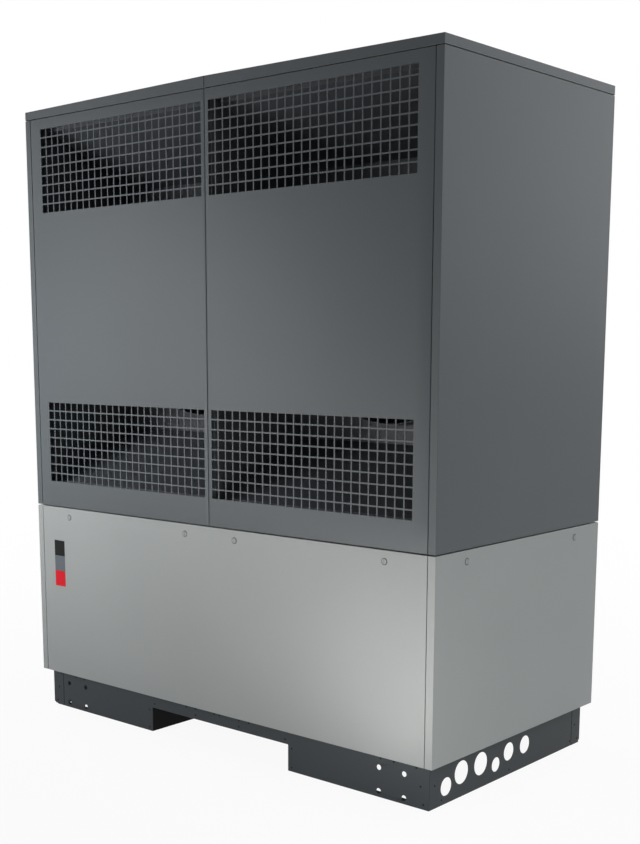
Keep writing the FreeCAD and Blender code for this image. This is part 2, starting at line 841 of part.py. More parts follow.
def door_body(name, fields, opening, count, pitch):
    """A door tray to the right of the middle, with a row of upright slots in each field of heights."""
    body = doc.addObject("PartDesign::Body", name)
    left = "panel_gap / 2"
    face = outline(body, f"{name}_face", "XZ_Plane",
                   [rectangle(left, "panel_edge", "upper_bottom", "upper_top")])
    pad(body, f"{name}_tray", face, "fold")
    inside = outline(body, f"{name}_inside", "XZ_Plane", [rectangle(
        f"{left} + skin", "panel_edge - skin", "upper_bottom + skin", "upper_top - skin")])
    pocket(body, f"{name}_hollow", inside, "fold - skin", reverse=True)
    start = f"{left} + field_side"
    loops = [rectangle(start, f"{start} + {opening}", low, high) for low, high in fields]
    slots = outline(body, f"{name}_slots", "XZ_Plane", loops)
    column = pocket(body, f"{name}_column", slots, "2 * fold", reverse=True)
    row_of(body, f"{name}_columns", column, slots, count, pitch)
    return body


def cross_bars(name, low, pitch, count):
    """Flat bars behind a field of slots, which make its openings square."""
    left = "panel_gap / 2 + field_side"
    right = f"{left} + columns * pitch - crossbar"
    bars = []
    for place in range(count):
        bottom = f"{low} + {place} * {pitch}"
        bars.append(block(name, (left, "-fold + skin", bottom),
                          (right, "-fold + 2 * skin", f"{bottom} + crossbar")))
    return bars


def placed_door(name, pieces, place_y, turn):
    door = group(name, pieces)
    door.Placement = FreeCAD.Placement(FreeCAD.Vector(), FreeCAD.Rotation(FreeCAD.Vector(0, 0, 1), turn))
    bind(door, "Placement.Base.y", place_y)
    return door


def make_doors():
    """Front doors with two fields of square openings each, and rear doors with one tall intake field."""
    upper_field = ("upper_top - field_top - field_tall", "upper_top - field_top")
    lower_field = ("upper_bottom + field_bottom", "upper_bottom + field_bottom + field_tall")
    bars = []
    for low, high in (upper_field, lower_field):
        bars += cross_bars("front_bar", f"{low} + mesh", "pitch", round(number("rows")) - 1)
    sheet_metal = door_body("front_door_sheet", [upper_field, lower_field], "mesh", "columns", "pitch")
    front = placed_door("front_door", [sheet_metal] + bars, "-deep / 2 + fold", 0)
    keep(front, "upper_front_door_right")
    keep(mirrored("front_door_mirror", front), "upper_front_door_left")
    intake = ("upper_bottom + intake_edge", "upper_top - intake_edge")
    pitch = f"({intake[1]} - ({intake[0]})) / (intake_bars + 1)"
    first = f"{intake[0]} + {pitch} - crossbar / 2"
    bars = cross_bars("rear_bar", first, pitch, round(number("intake_bars")))
    sheet_metal = door_body("rear_door_sheet", [intake], "intake_mesh", "intake_columns",
                            "(intake_mesh + crossbar)")
    rear = placed_door("rear_door", [sheet_metal] + bars, "deep / 2 - fold", 180)
    keep(rear, "upper_rear_panel_left")
    keep(mirrored("rear_door_mirror", rear), "upper_rear_panel_right")


def make_roof():
    """Two roof trays that slope from the seam in the middle to the sides."""
    body = doc.addObject("PartDesign::Body", "roof_sheet")
    seam = "fold_gap / 2"
    slope = "2 * ridge_rise / wide"
    outer = outline(body, "roof_outline", "XZ_Plane", [[
        (seam, "eaves_low"), ("wide / 2", "eaves_low"), ("wide / 2", "eaves"),
        (seam, f"eaves + ridge_rise - {slope} * {seam}")]])
    pad(body, "roof_block", outer, "deep", both_ways=True)
    inner = outline(body, "roof_inside", "XZ_Plane", [[
        (f"{seam} + skin", "eaves_low - plate"), ("wide / 2 - skin", "eaves_low - plate"),
        ("wide / 2 - skin", f"eaves - skin + {slope} * skin"),
        (f"{seam} + skin", f"eaves + ridge_rise - {slope} * ({seam} + skin) - skin")]])
    pocket(body, "roof_hollow", inner, "deep - 2 * skin", both_ways=True)
    keep(body, "roof_right")
    keep(mirrored("roof_mirror", body), "roof_left")


# Fan sections


def make_fan_walls():
    """The plates that carry the fans, with folded edges and a throat round each opening."""
    inner_x = "tray_plate / 2"
    outer_x = "stud_face - fold_gap"
    low_z = "fan_z - wall_half"
    high_z = "fan_z + wall_half"
    outer = block("wall_outer", (inner_x, "wall_front", low_z), (outer_x, "wall_y + wall_flange", high_z))
    hollow = block("wall_hollow", (f"{inner_x} + wall_plate", "wall_y", f"{low_z} + wall_plate"),
                   (f"{outer_x} - wall_plate", "wall_y + 2 * wall_flange", f"{high_z} - wall_plate"))
    plate = cut("wall_sheet", outer, [hollow])
    throat = prism("throat", "y", ("fan_x", "wall_y - throat", "fan_z"), "ring_radius + wall_plate", "throat",
                   THROAT_ROUND)
    bore = prism("throat_bore", "y", ("fan_x", "wall_y - throat - plate", "fan_z"), "ring_radius",
                 "throat + 2 * plate", THROAT_ROUND)
    wall = cut("right_fan_wall", fuse("plate_and_throat", [plate, throat]), [bore])
    keep(group("fan_walls", [wall, mirrored("left_fan_wall", wall)]), "fan_wall")


def rolled_sheet(name, radius, long):
    """The part of a tube that a blade is cut from. Its axis leans forward, so the pitch falls to the tip."""
    lean = math.radians(BLADE_LEAN)
    tilt = math.radians(BLADE_TILT)
    chordwise = FreeCAD.Vector(math.cos(lean), math.sin(lean), 0)
    facing = FreeCAD.Vector(-math.sin(lean), math.cos(lean), 0)
    axis = chordwise * math.sin(tilt) + AXES["z"] * math.cos(tilt)
    start = FreeCAD.Rotation(axis, -BLADE_WRAP / 2).multVec(facing)
    tube = doc.addObject("Part::Cylinder", name)
    tube.Angle = BLADE_WRAP
    bind(tube, "Radius", radius)
    bind(tube, "Height", long)
    turn = FreeCAD.Rotation(start, axis.cross(start), axis, "ZXY")
    tube.Placement = FreeCAD.Placement(FreeCAD.Vector(), turn)
    bases = ("0", "0", "blade_middle * fan_radius")
    for letter, base, outward, lengthwise in zip("xyz", bases, facing, axis):
        bind(tube, f"Placement.Base.{letter}",
             f"{base} - {round(outward, 6)} * blade_roll - {round(lengthwise, 6)} * ({long}) / 2")
    return tube


def polar(radius, turn):
    """A point of the fan's plan from its distance from the axis and its turn from the blade's middle line."""
    return f"{radius} * sin({turn} * 1 deg)", f"{radius} * cos({turn} * 1 deg)"


def blade():
    """A blade pressed from rolled sheet: the tube's wall inside a forward-swept outline with a round tip."""
    long = "2 * fan_radius"
    wall = cut("blade_sheet", rolled_sheet("blade_back", "blade_roll", long),
               [rolled_sheet("blade_front", "blade_roll - blade_thick", long)])
    body = doc.addObject("PartDesign::Body", "blade_plan")
    beyond = "blade_over * fan_radius"
    plan = outline(body, "blade_outline", "XZ_Plane", [[
        polar("root_radius", "-root_turn"), polar("blade_middle * fan_radius", "-waist_turn"),
        polar(beyond, "-tip_trail"), polar(beyond, "tip_lead"),
        polar("blade_neck * fan_radius", "neck_turn"), polar("root_radius", "root_turn")]])
    pad(body, "blade_prism", plan, "fan_radius", both_ways=True)
    tip = rod("blade_tip", "y", ("0", "-fan_radius / 2", "0"), "fan_radius", "fan_radius")
    return common("blade", wall, common("blade_cutter", body, tip))


def fan_body():
    """A hub with rolled blades about Y. Air leaves towards -Y and the shaft points to +Y."""
    hub = rod("hub", "y", ("0", "-hub_half", "0"), "hub_radius", "2 * hub_half")
    pin = rod("fan_shaft", "y", ("0", "hub_half", "0"), "shaft", "shaft_long")
    first = blade()
    count = round(number("blades"))
    blades = []
    for place in range(count):
        copy = group(f"blade_{place}", [first])
        turn = FreeCAD.Rotation(AXES["y"], 360 / count * place)
        copy.Placement = FreeCAD.Placement(FreeCAD.Vector(), turn)
        blades.append(copy)
    return fuse("fan_solid", [hub, pin] + blades)


def make_fans():
    rotor = fan_body()
    for side, sign in (("left", "-1"), ("right", "1")):
        fan = group(f"{side}_fan", [rotor])
        for axis, formula in zip("xyz", (f"{sign} * fan_x", "fan_y", "fan_z")):
            bind(fan, f"Placement.Base.{axis}", formula)
        keep(fan, f"fan_rotor_{side}")


def make_motors():
    """The motors behind the hubs, each bored for its fan's shaft."""
    motors = []
    for sign in ("-1", "1"):
        start = "fan_y + hub_half + motor_gap"
        centre = (f"{sign} * fan_x", start, "fan_z")
        casing = prism("motor_casing", "y", centre, "motor_radius", "motor_long", CASING_ROUND)
        bore = rod("shaft_bore", "y", (centre[0], f"{start} - plate", "fan_z"), "shaft + shaft_fit",
                   "plate + shaft_long")
        motors.append(cut("motor", casing, [bore]))
    keep(group("motors", motors), "fan_motors")


def fan_support(side, sign):
    """Four arms from a square plate behind the motor to the plate round the throat."""
    back = "fan_y + hub_half + motor_gap + motor_long"
    centre_x = f"{sign} * fan_x"
    half = "motor_foot * motor_radius"
    pieces = [block(f"{side}_spider_plate", (f"{centre_x} - {half}", back, f"fan_z - {half}"),
                    (f"{centre_x} + {half}", f"{back} + arm_thick", f"fan_z + {half}"))]
    for turn in (45, 135, 225, 315):
        arm = doc.addObject("Part::Box", f"{side}_arm")
        leg = doc.addObject("Part::Box", f"{side}_leg")
        bind(arm, "Length", "arm_reach")
        bind(leg, "Length", "arm_thick")
        for piece, low_y, inward in ((arm, back, "0"), (leg, "wall_y", "(arm_reach - arm_thick)")):
            bind(piece, "Width", f"{back} + arm_thick - ({low_y})")
            bind(piece, "Height", "arm_wide")
            piece.Placement = FreeCAD.Placement(FreeCAD.Vector(), FreeCAD.Rotation(AXES["y"], turn))
            cosine = f"cos({turn} deg)"
            sine = f"sin({turn} deg)"
            bind(piece, "Placement.Base.x", f"{centre_x} + {inward} * {cosine} - arm_wide / 2 * {sine}")
            bind(piece, "Placement.Base.y", low_y)
            bind(piece, "Placement.Base.z", f"fan_z - {inward} * {sine} - arm_wide / 2 * {cosine}")
            pieces.append(piece)
    return fuse(f"{side}_spider", pieces)


def make_fan_supports():
    keep(group("fan_spiders", [fan_support("left", "-1"), fan_support("right", "1")]), "fan_supports")


def baffle(name, side, wall_edge, outer_edge):
    """A sloping sheet from the fan plate's edge to the front frame, with a lip turned to the grille."""
    body = doc.addObject("PartDesign::Body", name)
    bind(body, "Placement.Base.x", "tray_plate / 2 + fold_gap")
    lip_end = f"{outer_edge} - {side} * baffle_lip"
    slope = f"(({outer_edge}) - ({wall_edge})) / (wall_front - baffle_y)"
    profile = outline(body, f"{name}_outline", "YZ_Plane", [[
        ("wall_front", wall_edge), ("baffle_y", outer_edge), ("baffle_y", lip_end),
        ("baffle_y + skin", lip_end),
        ("baffle_y + skin", f"{outer_edge} - {slope} * skin - {side} * skin"),
        ("wall_front", f"{wall_edge} - {side} * skin")]])
    pad(body, f"{name}_sheet", profile, "stud_face - tray_plate / 2 - 2 * fold_gap")
    return body


def make_baffles():
    """Sloping sheets that lead the air from each fan to the upper and the lower grille."""
    upper = baffle("upper_baffle", "1", "(fan_z + wall_half)", "baffle_top")
    lower = baffle("lower_baffle", "-1", "(fan_z - wall_half)", "baffle_bottom")
    pieces = [upper, lower, mirrored("upper_baffle_mirror", upper), mirrored("lower_baffle_mirror", lower)]
    keep(group("baffles", pieces), "air_baffles")


def make_liners():
    """Sound-absorbing pads behind the plain part of each front door."""
    back = "-deep / 2 + skin"
    low = "upper_bottom + field_bottom + field_tall + liner_gap"
    high = "upper_top - field_top - field_tall - liner_gap"
    right = block("liner", ("liner_side", back, low), ("panel_edge - liner_side", f"{back} + liner", high))
    keep(group("liners", [right, mirrored("liner_mirror", right)]), "door_liners")


def make_coils():
    """An evaporator: finned block between two end plates, with an upright header."""
    body = doc.addObject("PartDesign::Body", "fin_block")
    bind(body, "Placement.Base.y", "coil_front")
    front = outline(body, "coil_outline", "XZ_Plane",
                    [rectangle("coil_inner", "coil_outer", "coil_bottom", "coil_top")])
    pad(body, "fin_pack", front, "coil_deep").Reversed = True
    pitch = "(coil_outer - coil_inner) / (fin_grooves + 1)"
    left = f"coil_inner + {pitch} - fin_groove_wide / 2"
    groove = outline(body, "groove_outline", "XZ_Plane", [rectangle(
        left, f"{left} + fin_groove_wide", "coil_bottom - plate", "coil_top + plate")])
    valley = pocket(body, "groove", groove, "fin_groove_deep")
    row_of(body, "grooves", valley, groove, "fin_grooves", pitch)
    pieces = [body]
    for low, high in (("coil_inner - coil_end", "coil_inner"), ("coil_outer", "coil_outer + coil_end")):
        pieces.append(block("end_plate", (low, "coil_front", "tray_top"),
                            (high, "coil_front + coil_deep", "coil_top + 2 * plate")))
    pieces.append(prism("header_pipe", "z", ("header_x", "header_y", "coil_bottom"), "header_radius",
                        "coil_top - coil_bottom - 3 * header_radius", LIGHT_ROUND))
    coil = group("coil", pieces)
    keep(coil, "evaporator_right")
    keep(mirrored("coil_mirror", coil), "evaporator_left")


def make_tray():
    """The drip tray under both coils, with a raised rim and openings for the uprights and the pipes."""
    edge_x = "frame_x - plate - fold_gap"
    edge_y = "frame_y - plate - fold_gap"
    outer = block("tray_outer", (f"-({edge_x})", f"-({edge_y})", "waist"),
                  (edge_x, edge_y, "tray_top + tray_rim"))
    holes = [block("tray_hollow", (f"-({edge_x}) + tray_plate", f"-({edge_y}) + tray_plate", "tray_top"),
                   (f"{edge_x} - tray_plate", f"{edge_y} - tray_plate", "tray_top + 2 * tray_rim"))]
    low = "waist - plate"
    high = "tray_top + 2 * tray_rim"
    for side in ("-1", "1"):
        near_y = f"{side} * (frame_y - plate - mullion_deep / 2)"
        half_y = "(mullion_deep / 2 + fold_gap)"
        holes.append(block("mullion_gap", ("-mullion_half - fold_gap", f"{near_y} - {half_y}", low),
                           ("mullion_half + fold_gap", f"{near_y} + {half_y}", high)))
        near_x = f"{side} * (frame_x - plate - (stud_deep - plate) / 2)"
        half_x = "((stud_deep - plate) / 2 + fold_gap)"
        holes.append(block("stud_gap", (f"{near_x} - {half_x}", "-stud_half - fold_gap", low),
                           (f"{near_x} + {half_x}", "stud_half + fold_gap", high)))
        for place_x, place_y, radius in (("header_x", "header_y", "gas_pipe"),
                                         ("liquid_x", "liquid_y", "liquid_pipe")):
            holes.append(square_hole(f"{side} * {place_x}", place_y, f"{radius} + catch_gap", low,
                                     "4 * plate"))
    keep(cut("drip_tray_sheet", outer, holes), "drip_tray")


# Quarter-turn locks


def lock(name, place_x, place_y, turn):
    """A slotted head on the panel and a stud through the frame's rail. The head faces -Y before its turn."""
    head = prism(f"{name}_head", "y", ("0", "-lock_proud", "0"), "lock_head", "lock_proud", LIGHT_ROUND)
    slot = block(f"{name}_slot", ("-lock_slot / 2", "-2 * lock_proud", "-2 * lock_head"),
                 ("lock_slot / 2", "-lock_proud + lock_slot_deep", "2 * lock_head"))
    stud = prism(f"{name}_stud", "y", ("0", "0", "0"), "lock_stud", "lock_reach", SQUARE)
    made = group(f"{name}_set", [fuse(f"{name}_piece", [cut(f"{name}_slotted", head, [slot]), stud])])
    made.Placement = FreeCAD.Placement(FreeCAD.Vector(), FreeCAD.Rotation(FreeCAD.Vector(0, 0, 1), turn))
    for axis, formula in zip("xyz", (place_x, place_y, "lock_z")):
        bind(made, f"Placement.Base.{axis}", formula)
    keep(made, name)


def make_locks():
    for name, place_x, place_y, turn in lock_places():
        lock(name, place_x, place_y, turn)


# Refrigerant machine


def make_compressors():
    """Two scroll compressors in tandem: a shell with a terminal box at its front, on a foot plate."""
    for side, sign in (("left", "-1"), ("right", "1")):
        centre = f"{sign} * compressor_x + compressor_shift"
        face = "compressor_y - shell_radius"
        pieces = [
            drum("barrel", (centre, "compressor_y"), "machine_z", "shell_top", "shell_radius"),
            block("terminal_box",
                  (f"{centre} - terminal_half", f"{face} - terminal_deep", "terminal_high - terminal_tall"),
                  (f"{centre} + terminal_half", "compressor_y - shell_radius / 2", "terminal_high")),
            block("foot", (f"{centre} - foot_half", "compressor_y - foot_half", "machine_z - foot_plate"),
                  (f"{centre} + foot_half", "compressor_y + foot_half", "machine_z")),
        ]
        keep(fuse(f"{side}_compressor", pieces), f"compressor_{side}")


def make_compressor_mounts():
    """Rubber mounts under each corner of the foot plates."""
    mounts = []
    for sign in ("-1", "1"):
        for step_x in ("-1", "1"):
            for step_y in ("-1", "1"):
                place = (f"{sign} * compressor_x + compressor_shift + {step_x} * foot_bolt",
                         f"compressor_y + {step_y} * foot_bolt", "floor_top")
                mounts.append(prism("mount", "z", place, "mount_radius",
                                    "machine_z - foot_plate - floor_top", SMALL_ROUND))
    keep(group("mounts", mounts), "compressor_mounts")


def make_condenser():
    """A brazed stack of plates with a thick cover each side, standing on the covers' feet."""
    top = "condenser_top"
    back = "condenser_y + condenser_wide"
    end = "condenser_x + condenser_deep"
    pieces = [block("plate_stack",
                    ("condenser_x + cover_plate", "condenser_y + plate_inset", "machine_z + plate_inset"),
                    (f"{end} - cover_plate", f"{back} - plate_inset", f"{top} - plate_inset"))]
    for near in ("condenser_x", f"{end} - cover_plate"):
        far = f"{near} + cover_plate"
        pieces.append(block("cover", (near, "condenser_y", "machine_z"), (far, back, top)))
        pieces.append(block("cover_foot", (near, "condenser_y + foot_inset", "floor_top"),
                            (far, f"{back} - foot_inset", "machine_z")))
    keep(fuse("condenser", pieces), "plate_condenser")


def vessel(name, place_x, radius, top):
    """An upright vessel on a square stand."""
    half = f"stand_share * {radius}"
    stand_top = "floor_top + stand"
    return fuse(name, [
        block(f"{name}_stand", (f"{place_x} - {half}", f"receiver_y - {half}", "floor_top"),
              (f"{place_x} + {half}", f"receiver_y + {half}", stand_top)),
        drum(f"{name}_barrel", (place_x, "receiver_y"), stand_top, top, radius),
    ])


def make_vessels():
    """The liquid receiver and the suction accumulator."""
    receiver = vessel("receiver", "receiver_x", "receiver_radius", "receiver_top")
    accumulator = vessel("accumulator", "accumulator_x", "accumulator_radius", "accumulator_top")
    keep(receiver, "liquid_receiver")
    keep(accumulator, "suction_accumulator")


def make_valve():
    """The four-way valve: a barrel lying on a block that takes its pipes below and behind."""
    half = "valve_block / 2"
    keep(group("valve", [
        prism("valve_barrel", "x", ("valve_x - valve_half", "receiver_y", "valve_top + valve_radius"),
              "valve_radius", "2 * valve_half", PIPE_ROUND),
        block("valve_port_block", (f"valve_x - valve_port - {half}", f"receiver_y - {half}", "valve_under"),
              (f"valve_x + valve_port + {half}", "valve_back", "valve_top")),
    ]), "four_way_valve")


def pipe(name, points, radius, sides):
    """A pipe of straight runs with mitred corners and flat sides. The points and the radius are formulas."""
    route = [FreeCAD.Vector(*(number(formula) for formula in point)) for point in points]
    circle = Part.Circle(route[0], route[1] - route[0], number(radius)).toShape()
    section = Part.Wire(Part.makePolygon(circle.discretize(sides + 1)).Edges)
    feature = doc.addObject("Part::Feature", name)
    feature.Shape = Part.makePolygon(route).makePipeShell([section], True, False, 1)
    return feature


def copper(name, points, radius):
    """A copper pipe of the refrigerant circuit."""
    return pipe(name, points, radius, SMALL_ROUND)


def compressor_pipes():
    """For each compressor, a discharge pipe to the valve and a suction pipe from the accumulator."""
    pieces = []
    run = ("accumulator_x + accumulator_radius", "receiver_y", "suction_z")
    for sign in ("-1", "1"):
        centre = f"{sign} * compressor_x + compressor_shift"
        port = f"valve_x + {sign} * valve_port / 2"
        pieces.append(copper("discharge_pipe", [
            (centre, "compressor_y", "shell_top"), (centre, "compressor_y", "valve_z"),
            (port, "compressor_y", "valve_z"), (port, "valve_back", "valve_z"),
        ], "discharge_radius"))
        pieces.append(copper("suction_pipe", [
            run, (centre, "receiver_y", "suction_z"), (centre, "compressor_y - shell_radius", "suction_z"),
        ], "gas_pipe"))
        run = (f"{centre} + gas_pipe", "receiver_y", "suction_z")
    return pieces


def valve_pipes():
    """The gas lines from the valve to the accumulator, the condenser and the two coils' headers."""
    level = "valve_under - 2 * bend"
    low_level = "valve_under - 5 * bend"
    return [
        copper("suction_line", [
            ("accumulator_x", "receiver_y", "accumulator_top"), ("accumulator_x", "receiver_y", level),
            ("valve_x - valve_port", "receiver_y", level),
            ("valve_x - valve_port", "receiver_y", "valve_under"),
        ], "gas_pipe"),
        copper("hot_gas_line", [
            ("valve_x + valve_port", "receiver_y", "valve_under"),
            ("valve_x + valve_port", "receiver_y", level),
            ("condenser_x", "receiver_y", level),
        ], "gas_pipe"),
        copper("coil_gas_line", [
            ("valve_x", "receiver_y", "valve_under"), ("valve_x", "receiver_y", low_level),
            ("header_x", "header_y", low_level), ("header_x", "header_y", "coil_bottom"),
        ], "gas_pipe"),
        copper("coil_gas_branch", [
            ("header_x - gas_pipe", "header_y", level), ("-header_x", "header_y", level),
            ("-header_x", "header_y", "coil_bottom"),
        ], "gas_pipe"),
    ]


def liquid_pipes():
    """The liquid lines from the condenser to the receiver and on to the two coils."""
    return [
        copper("condensate_line", [
            ("receiver_x + receiver_radius", "receiver_y", "liquid_z"),
            ("condenser_x", "receiver_y", "liquid_z"),
        ], "liquid_pipe"),
        copper("liquid_line", [
            ("receiver_x", "receiver_y", "receiver_top"), ("receiver_x", "receiver_y", "branch_z"),
            ("receiver_x", "liquid_y", "branch_z"), ("liquid_x", "liquid_y", "branch_z"),
            ("liquid_x", "liquid_y", "coil_bottom"),
        ], "liquid_pipe"),
        copper("liquid_branch", [
            ("liquid_x - liquid_pipe", "liquid_y", "branch_z"), ("-liquid_x", "liquid_y", "branch_z"),
            ("-liquid_x", "liquid_y", "coil_bottom"),
        ], "liquid_pipe"),
    ]


def make_refrigerant_pipes():
    """The copper pipes between the compressors, the four-way valve, the exchangers and the vessels."""
    keep(group("pipes", compressor_pipes() + valve_pipes() + liquid_pipes()), "refrigerant_pipes")


def make_electrical_box():
    """The control cabinet behind the front panel, with its screwed cover and a leg under each end."""
    far = "box_x + box_wide"
    back = "box_y + box_deep"
    top = "box_top"
    front = "box_y + skin"
    skins = ("skin", "skin", "skin")
    pieces = [tray("control_case", ("box_x", front, "box_z"), (far, back, top), "-y", (skins, skins)),
              block("control_cover", ("box_x", "box_y", "box_z"), (far, front, top))]
    for near in ("box_x", f"{far} - plate"):
        pieces.append(block("control_leg", (near, front, "floor_top"), (f"{near} + plate", back, "box_z")))
    keep(group("control_box", pieces), "electrical_box")


def make_water_pipes():
    """The two water connections, from the condenser down through the floor, with a nut above each end."""
    start = "condenser_x + condenser_deep"
    pieces = []
    for name, across, level in (
        ("flow_pipe", "flow_y", "condenser_top - 2 * water_pipe"),
        ("return_pipe", "return_y", "machine_z + 4 * water_pipe"),
    ):
        corner = ("water_x", across, level)
        tube = pipe(name, [(start, across, level), corner, ("water_x", across, "nut_z")], "water_pipe",
                    PIPE_ROUND)
        nut = prism(f"{name}_nut", "z", ("water_x", across, "nut_z"), "nut_radius", "nut_tall", HEXAGON)
        end = rod(f"{name}_end", "z", ("water_x", across, "water_end"), "water_end_radius",
                  "nut_z - water_end")
        pieces.append(fuse(f"{name}_set", [tube, nut, end]))
    keep(group("water_set", pieces), "water_pipes")


make_long_rails()
make_side_rails()
make_corner_plates()
make_fork_tunnel()
make_bearers()
make_floor()
make_posts()
make_rings()
make_mullions()
make_partition()
make_rafters()
make_side_panels()
make_lower_panels()
make_doors()
make_roof()
make_fan_walls()
make_fans()
make_motors()
make_fan_supports()
make_baffles()
make_liners()
make_coils()
make_tray()
make_locks()
make_compressors()
make_compressor_mounts()
make_condenser()
make_vessels()
make_valve()
make_refrigerant_pipes()
make_electrical_box()
make_water_pipes()

doc.recompute()

for thing in doc.Objects:
    if "Invalid" in thing.State or "Error" in thing.State:
        raise RuntimeError(f"{thing.Name} ({thing.Label}) failed: {thing.State}")
os.makedirs("parts", exist_ok=True)
for thing in subparts:
    shape = thing.Shape
    if shape.isNull() or not shape.isValid() or not shape.Solids:
        raise RuntimeError(f"{thing.Label} has no valid solid")
for thing in subparts:
    thing.Shape.exportStep(f"parts/{thing.Label}.step")
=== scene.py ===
import json
import logging
import math
from collections.abc import Callable
from dataclasses import dataclass
from enum import Enum

import bmesh
import bpy
from mathutils import Color, Matrix, Vector


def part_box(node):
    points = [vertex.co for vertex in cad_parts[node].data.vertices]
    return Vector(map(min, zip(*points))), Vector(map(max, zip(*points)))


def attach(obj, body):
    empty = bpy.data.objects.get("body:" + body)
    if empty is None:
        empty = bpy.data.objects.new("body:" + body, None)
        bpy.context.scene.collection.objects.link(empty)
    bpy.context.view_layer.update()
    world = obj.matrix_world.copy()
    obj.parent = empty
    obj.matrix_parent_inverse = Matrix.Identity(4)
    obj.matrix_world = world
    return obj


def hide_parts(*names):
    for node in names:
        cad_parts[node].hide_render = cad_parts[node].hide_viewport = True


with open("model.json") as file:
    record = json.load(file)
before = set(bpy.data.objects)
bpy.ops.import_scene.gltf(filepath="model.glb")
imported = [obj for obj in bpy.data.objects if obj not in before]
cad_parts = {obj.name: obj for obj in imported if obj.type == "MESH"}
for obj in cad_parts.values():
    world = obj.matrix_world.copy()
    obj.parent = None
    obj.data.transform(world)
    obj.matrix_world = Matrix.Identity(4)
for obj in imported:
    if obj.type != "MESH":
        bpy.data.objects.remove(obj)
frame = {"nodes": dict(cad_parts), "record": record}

LOG = logging.getLogger("heat_pump")
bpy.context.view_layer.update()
# A millimetre in metres: shapes are modelled in millimetres, and the frame is in metres.
MM = 0.001
SIGNS = (-1, 1)
UPRIGHT = Matrix.Rotation(math.pi / 2, 4, "X")
Colour = tuple[float, float, float, float]
Edges = list[bmesh.types.BMEdge]
Profile = list[tuple[float, float]]
Socket = bpy.types.NodeSocket
Spot = Vector | tuple[float, float, float]


# Shared tools


def linear(red: float, green: float, blue: float) -> Colour:
    """The linear colour that a shader takes, from one as it is seen, 0 to 255."""
    return (*(Color((red, green, blue)) / 255).from_srgb_to_scene_linear(), 1.0)


def shifted(colour: Colour, share: float) -> Colour:
    """A colour made lighter, or darker where the share is less than one."""
    return (*(tone * share for tone in colour[:3]), 1.0)


def around(things: list, kind: str) -> list:
    """The edges or faces that belong to some parts of a mesh, each once."""
    return list(dict.fromkeys(one for thing in things for one in getattr(thing, kind)))


def gaps(start: float, pitch: float, size: float, count: int) -> list[tuple[float, float]]:
    """The lower and upper edges of openings in a row."""
    return [(start + place * pitch, start + place * pitch + size) for place in range(count)]


def box(node: str) -> tuple[Vector, ...]:
    """The lowest and the highest corner of a CAD node in millimetres."""
    return tuple(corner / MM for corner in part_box(node))


def tune(thing: object, **settings: object) -> None:
    """Give a thing its settings."""
    for name, value in settings.items():
        setattr(thing, name, value)


def shown(name: str, data: bpy.types.ID) -> bpy.types.Object:
    """A new object in the scene."""
    thing = bpy.data.objects.new(name, data)
    bpy.context.scene.collection.objects.link(thing)
    return thing


class Axis(Enum):
    """The direction that a turned or drawn piece points to."""

    X = Vector((1, 0, 0))
    Y = Vector((0, 1, 0))
    Z = Vector((0, 0, 1))


class Side(Enum):
    """A side of the unit, as the turn about Z of a piece that is made for the front."""

    FRONT = 0
    RIGHT = 90
    REAR = 180
    LEFT = 270

    def turn(self) -> Matrix:
        """The turn that brings a piece of the front to this side."""
        return Matrix.Rotation(math.radians(self.value), 4, "Z")

    def box(self, node: str) -> tuple[Vector, ...]:
        """The lowest and the highest corner of a CAD node, with this side turned to the front."""
        corners = [self.turn().inverted() @ corner for corner in box(node)]
        return tuple(Vector([pick(pair) for pair in zip(*corners)]) for pick in (min, max))


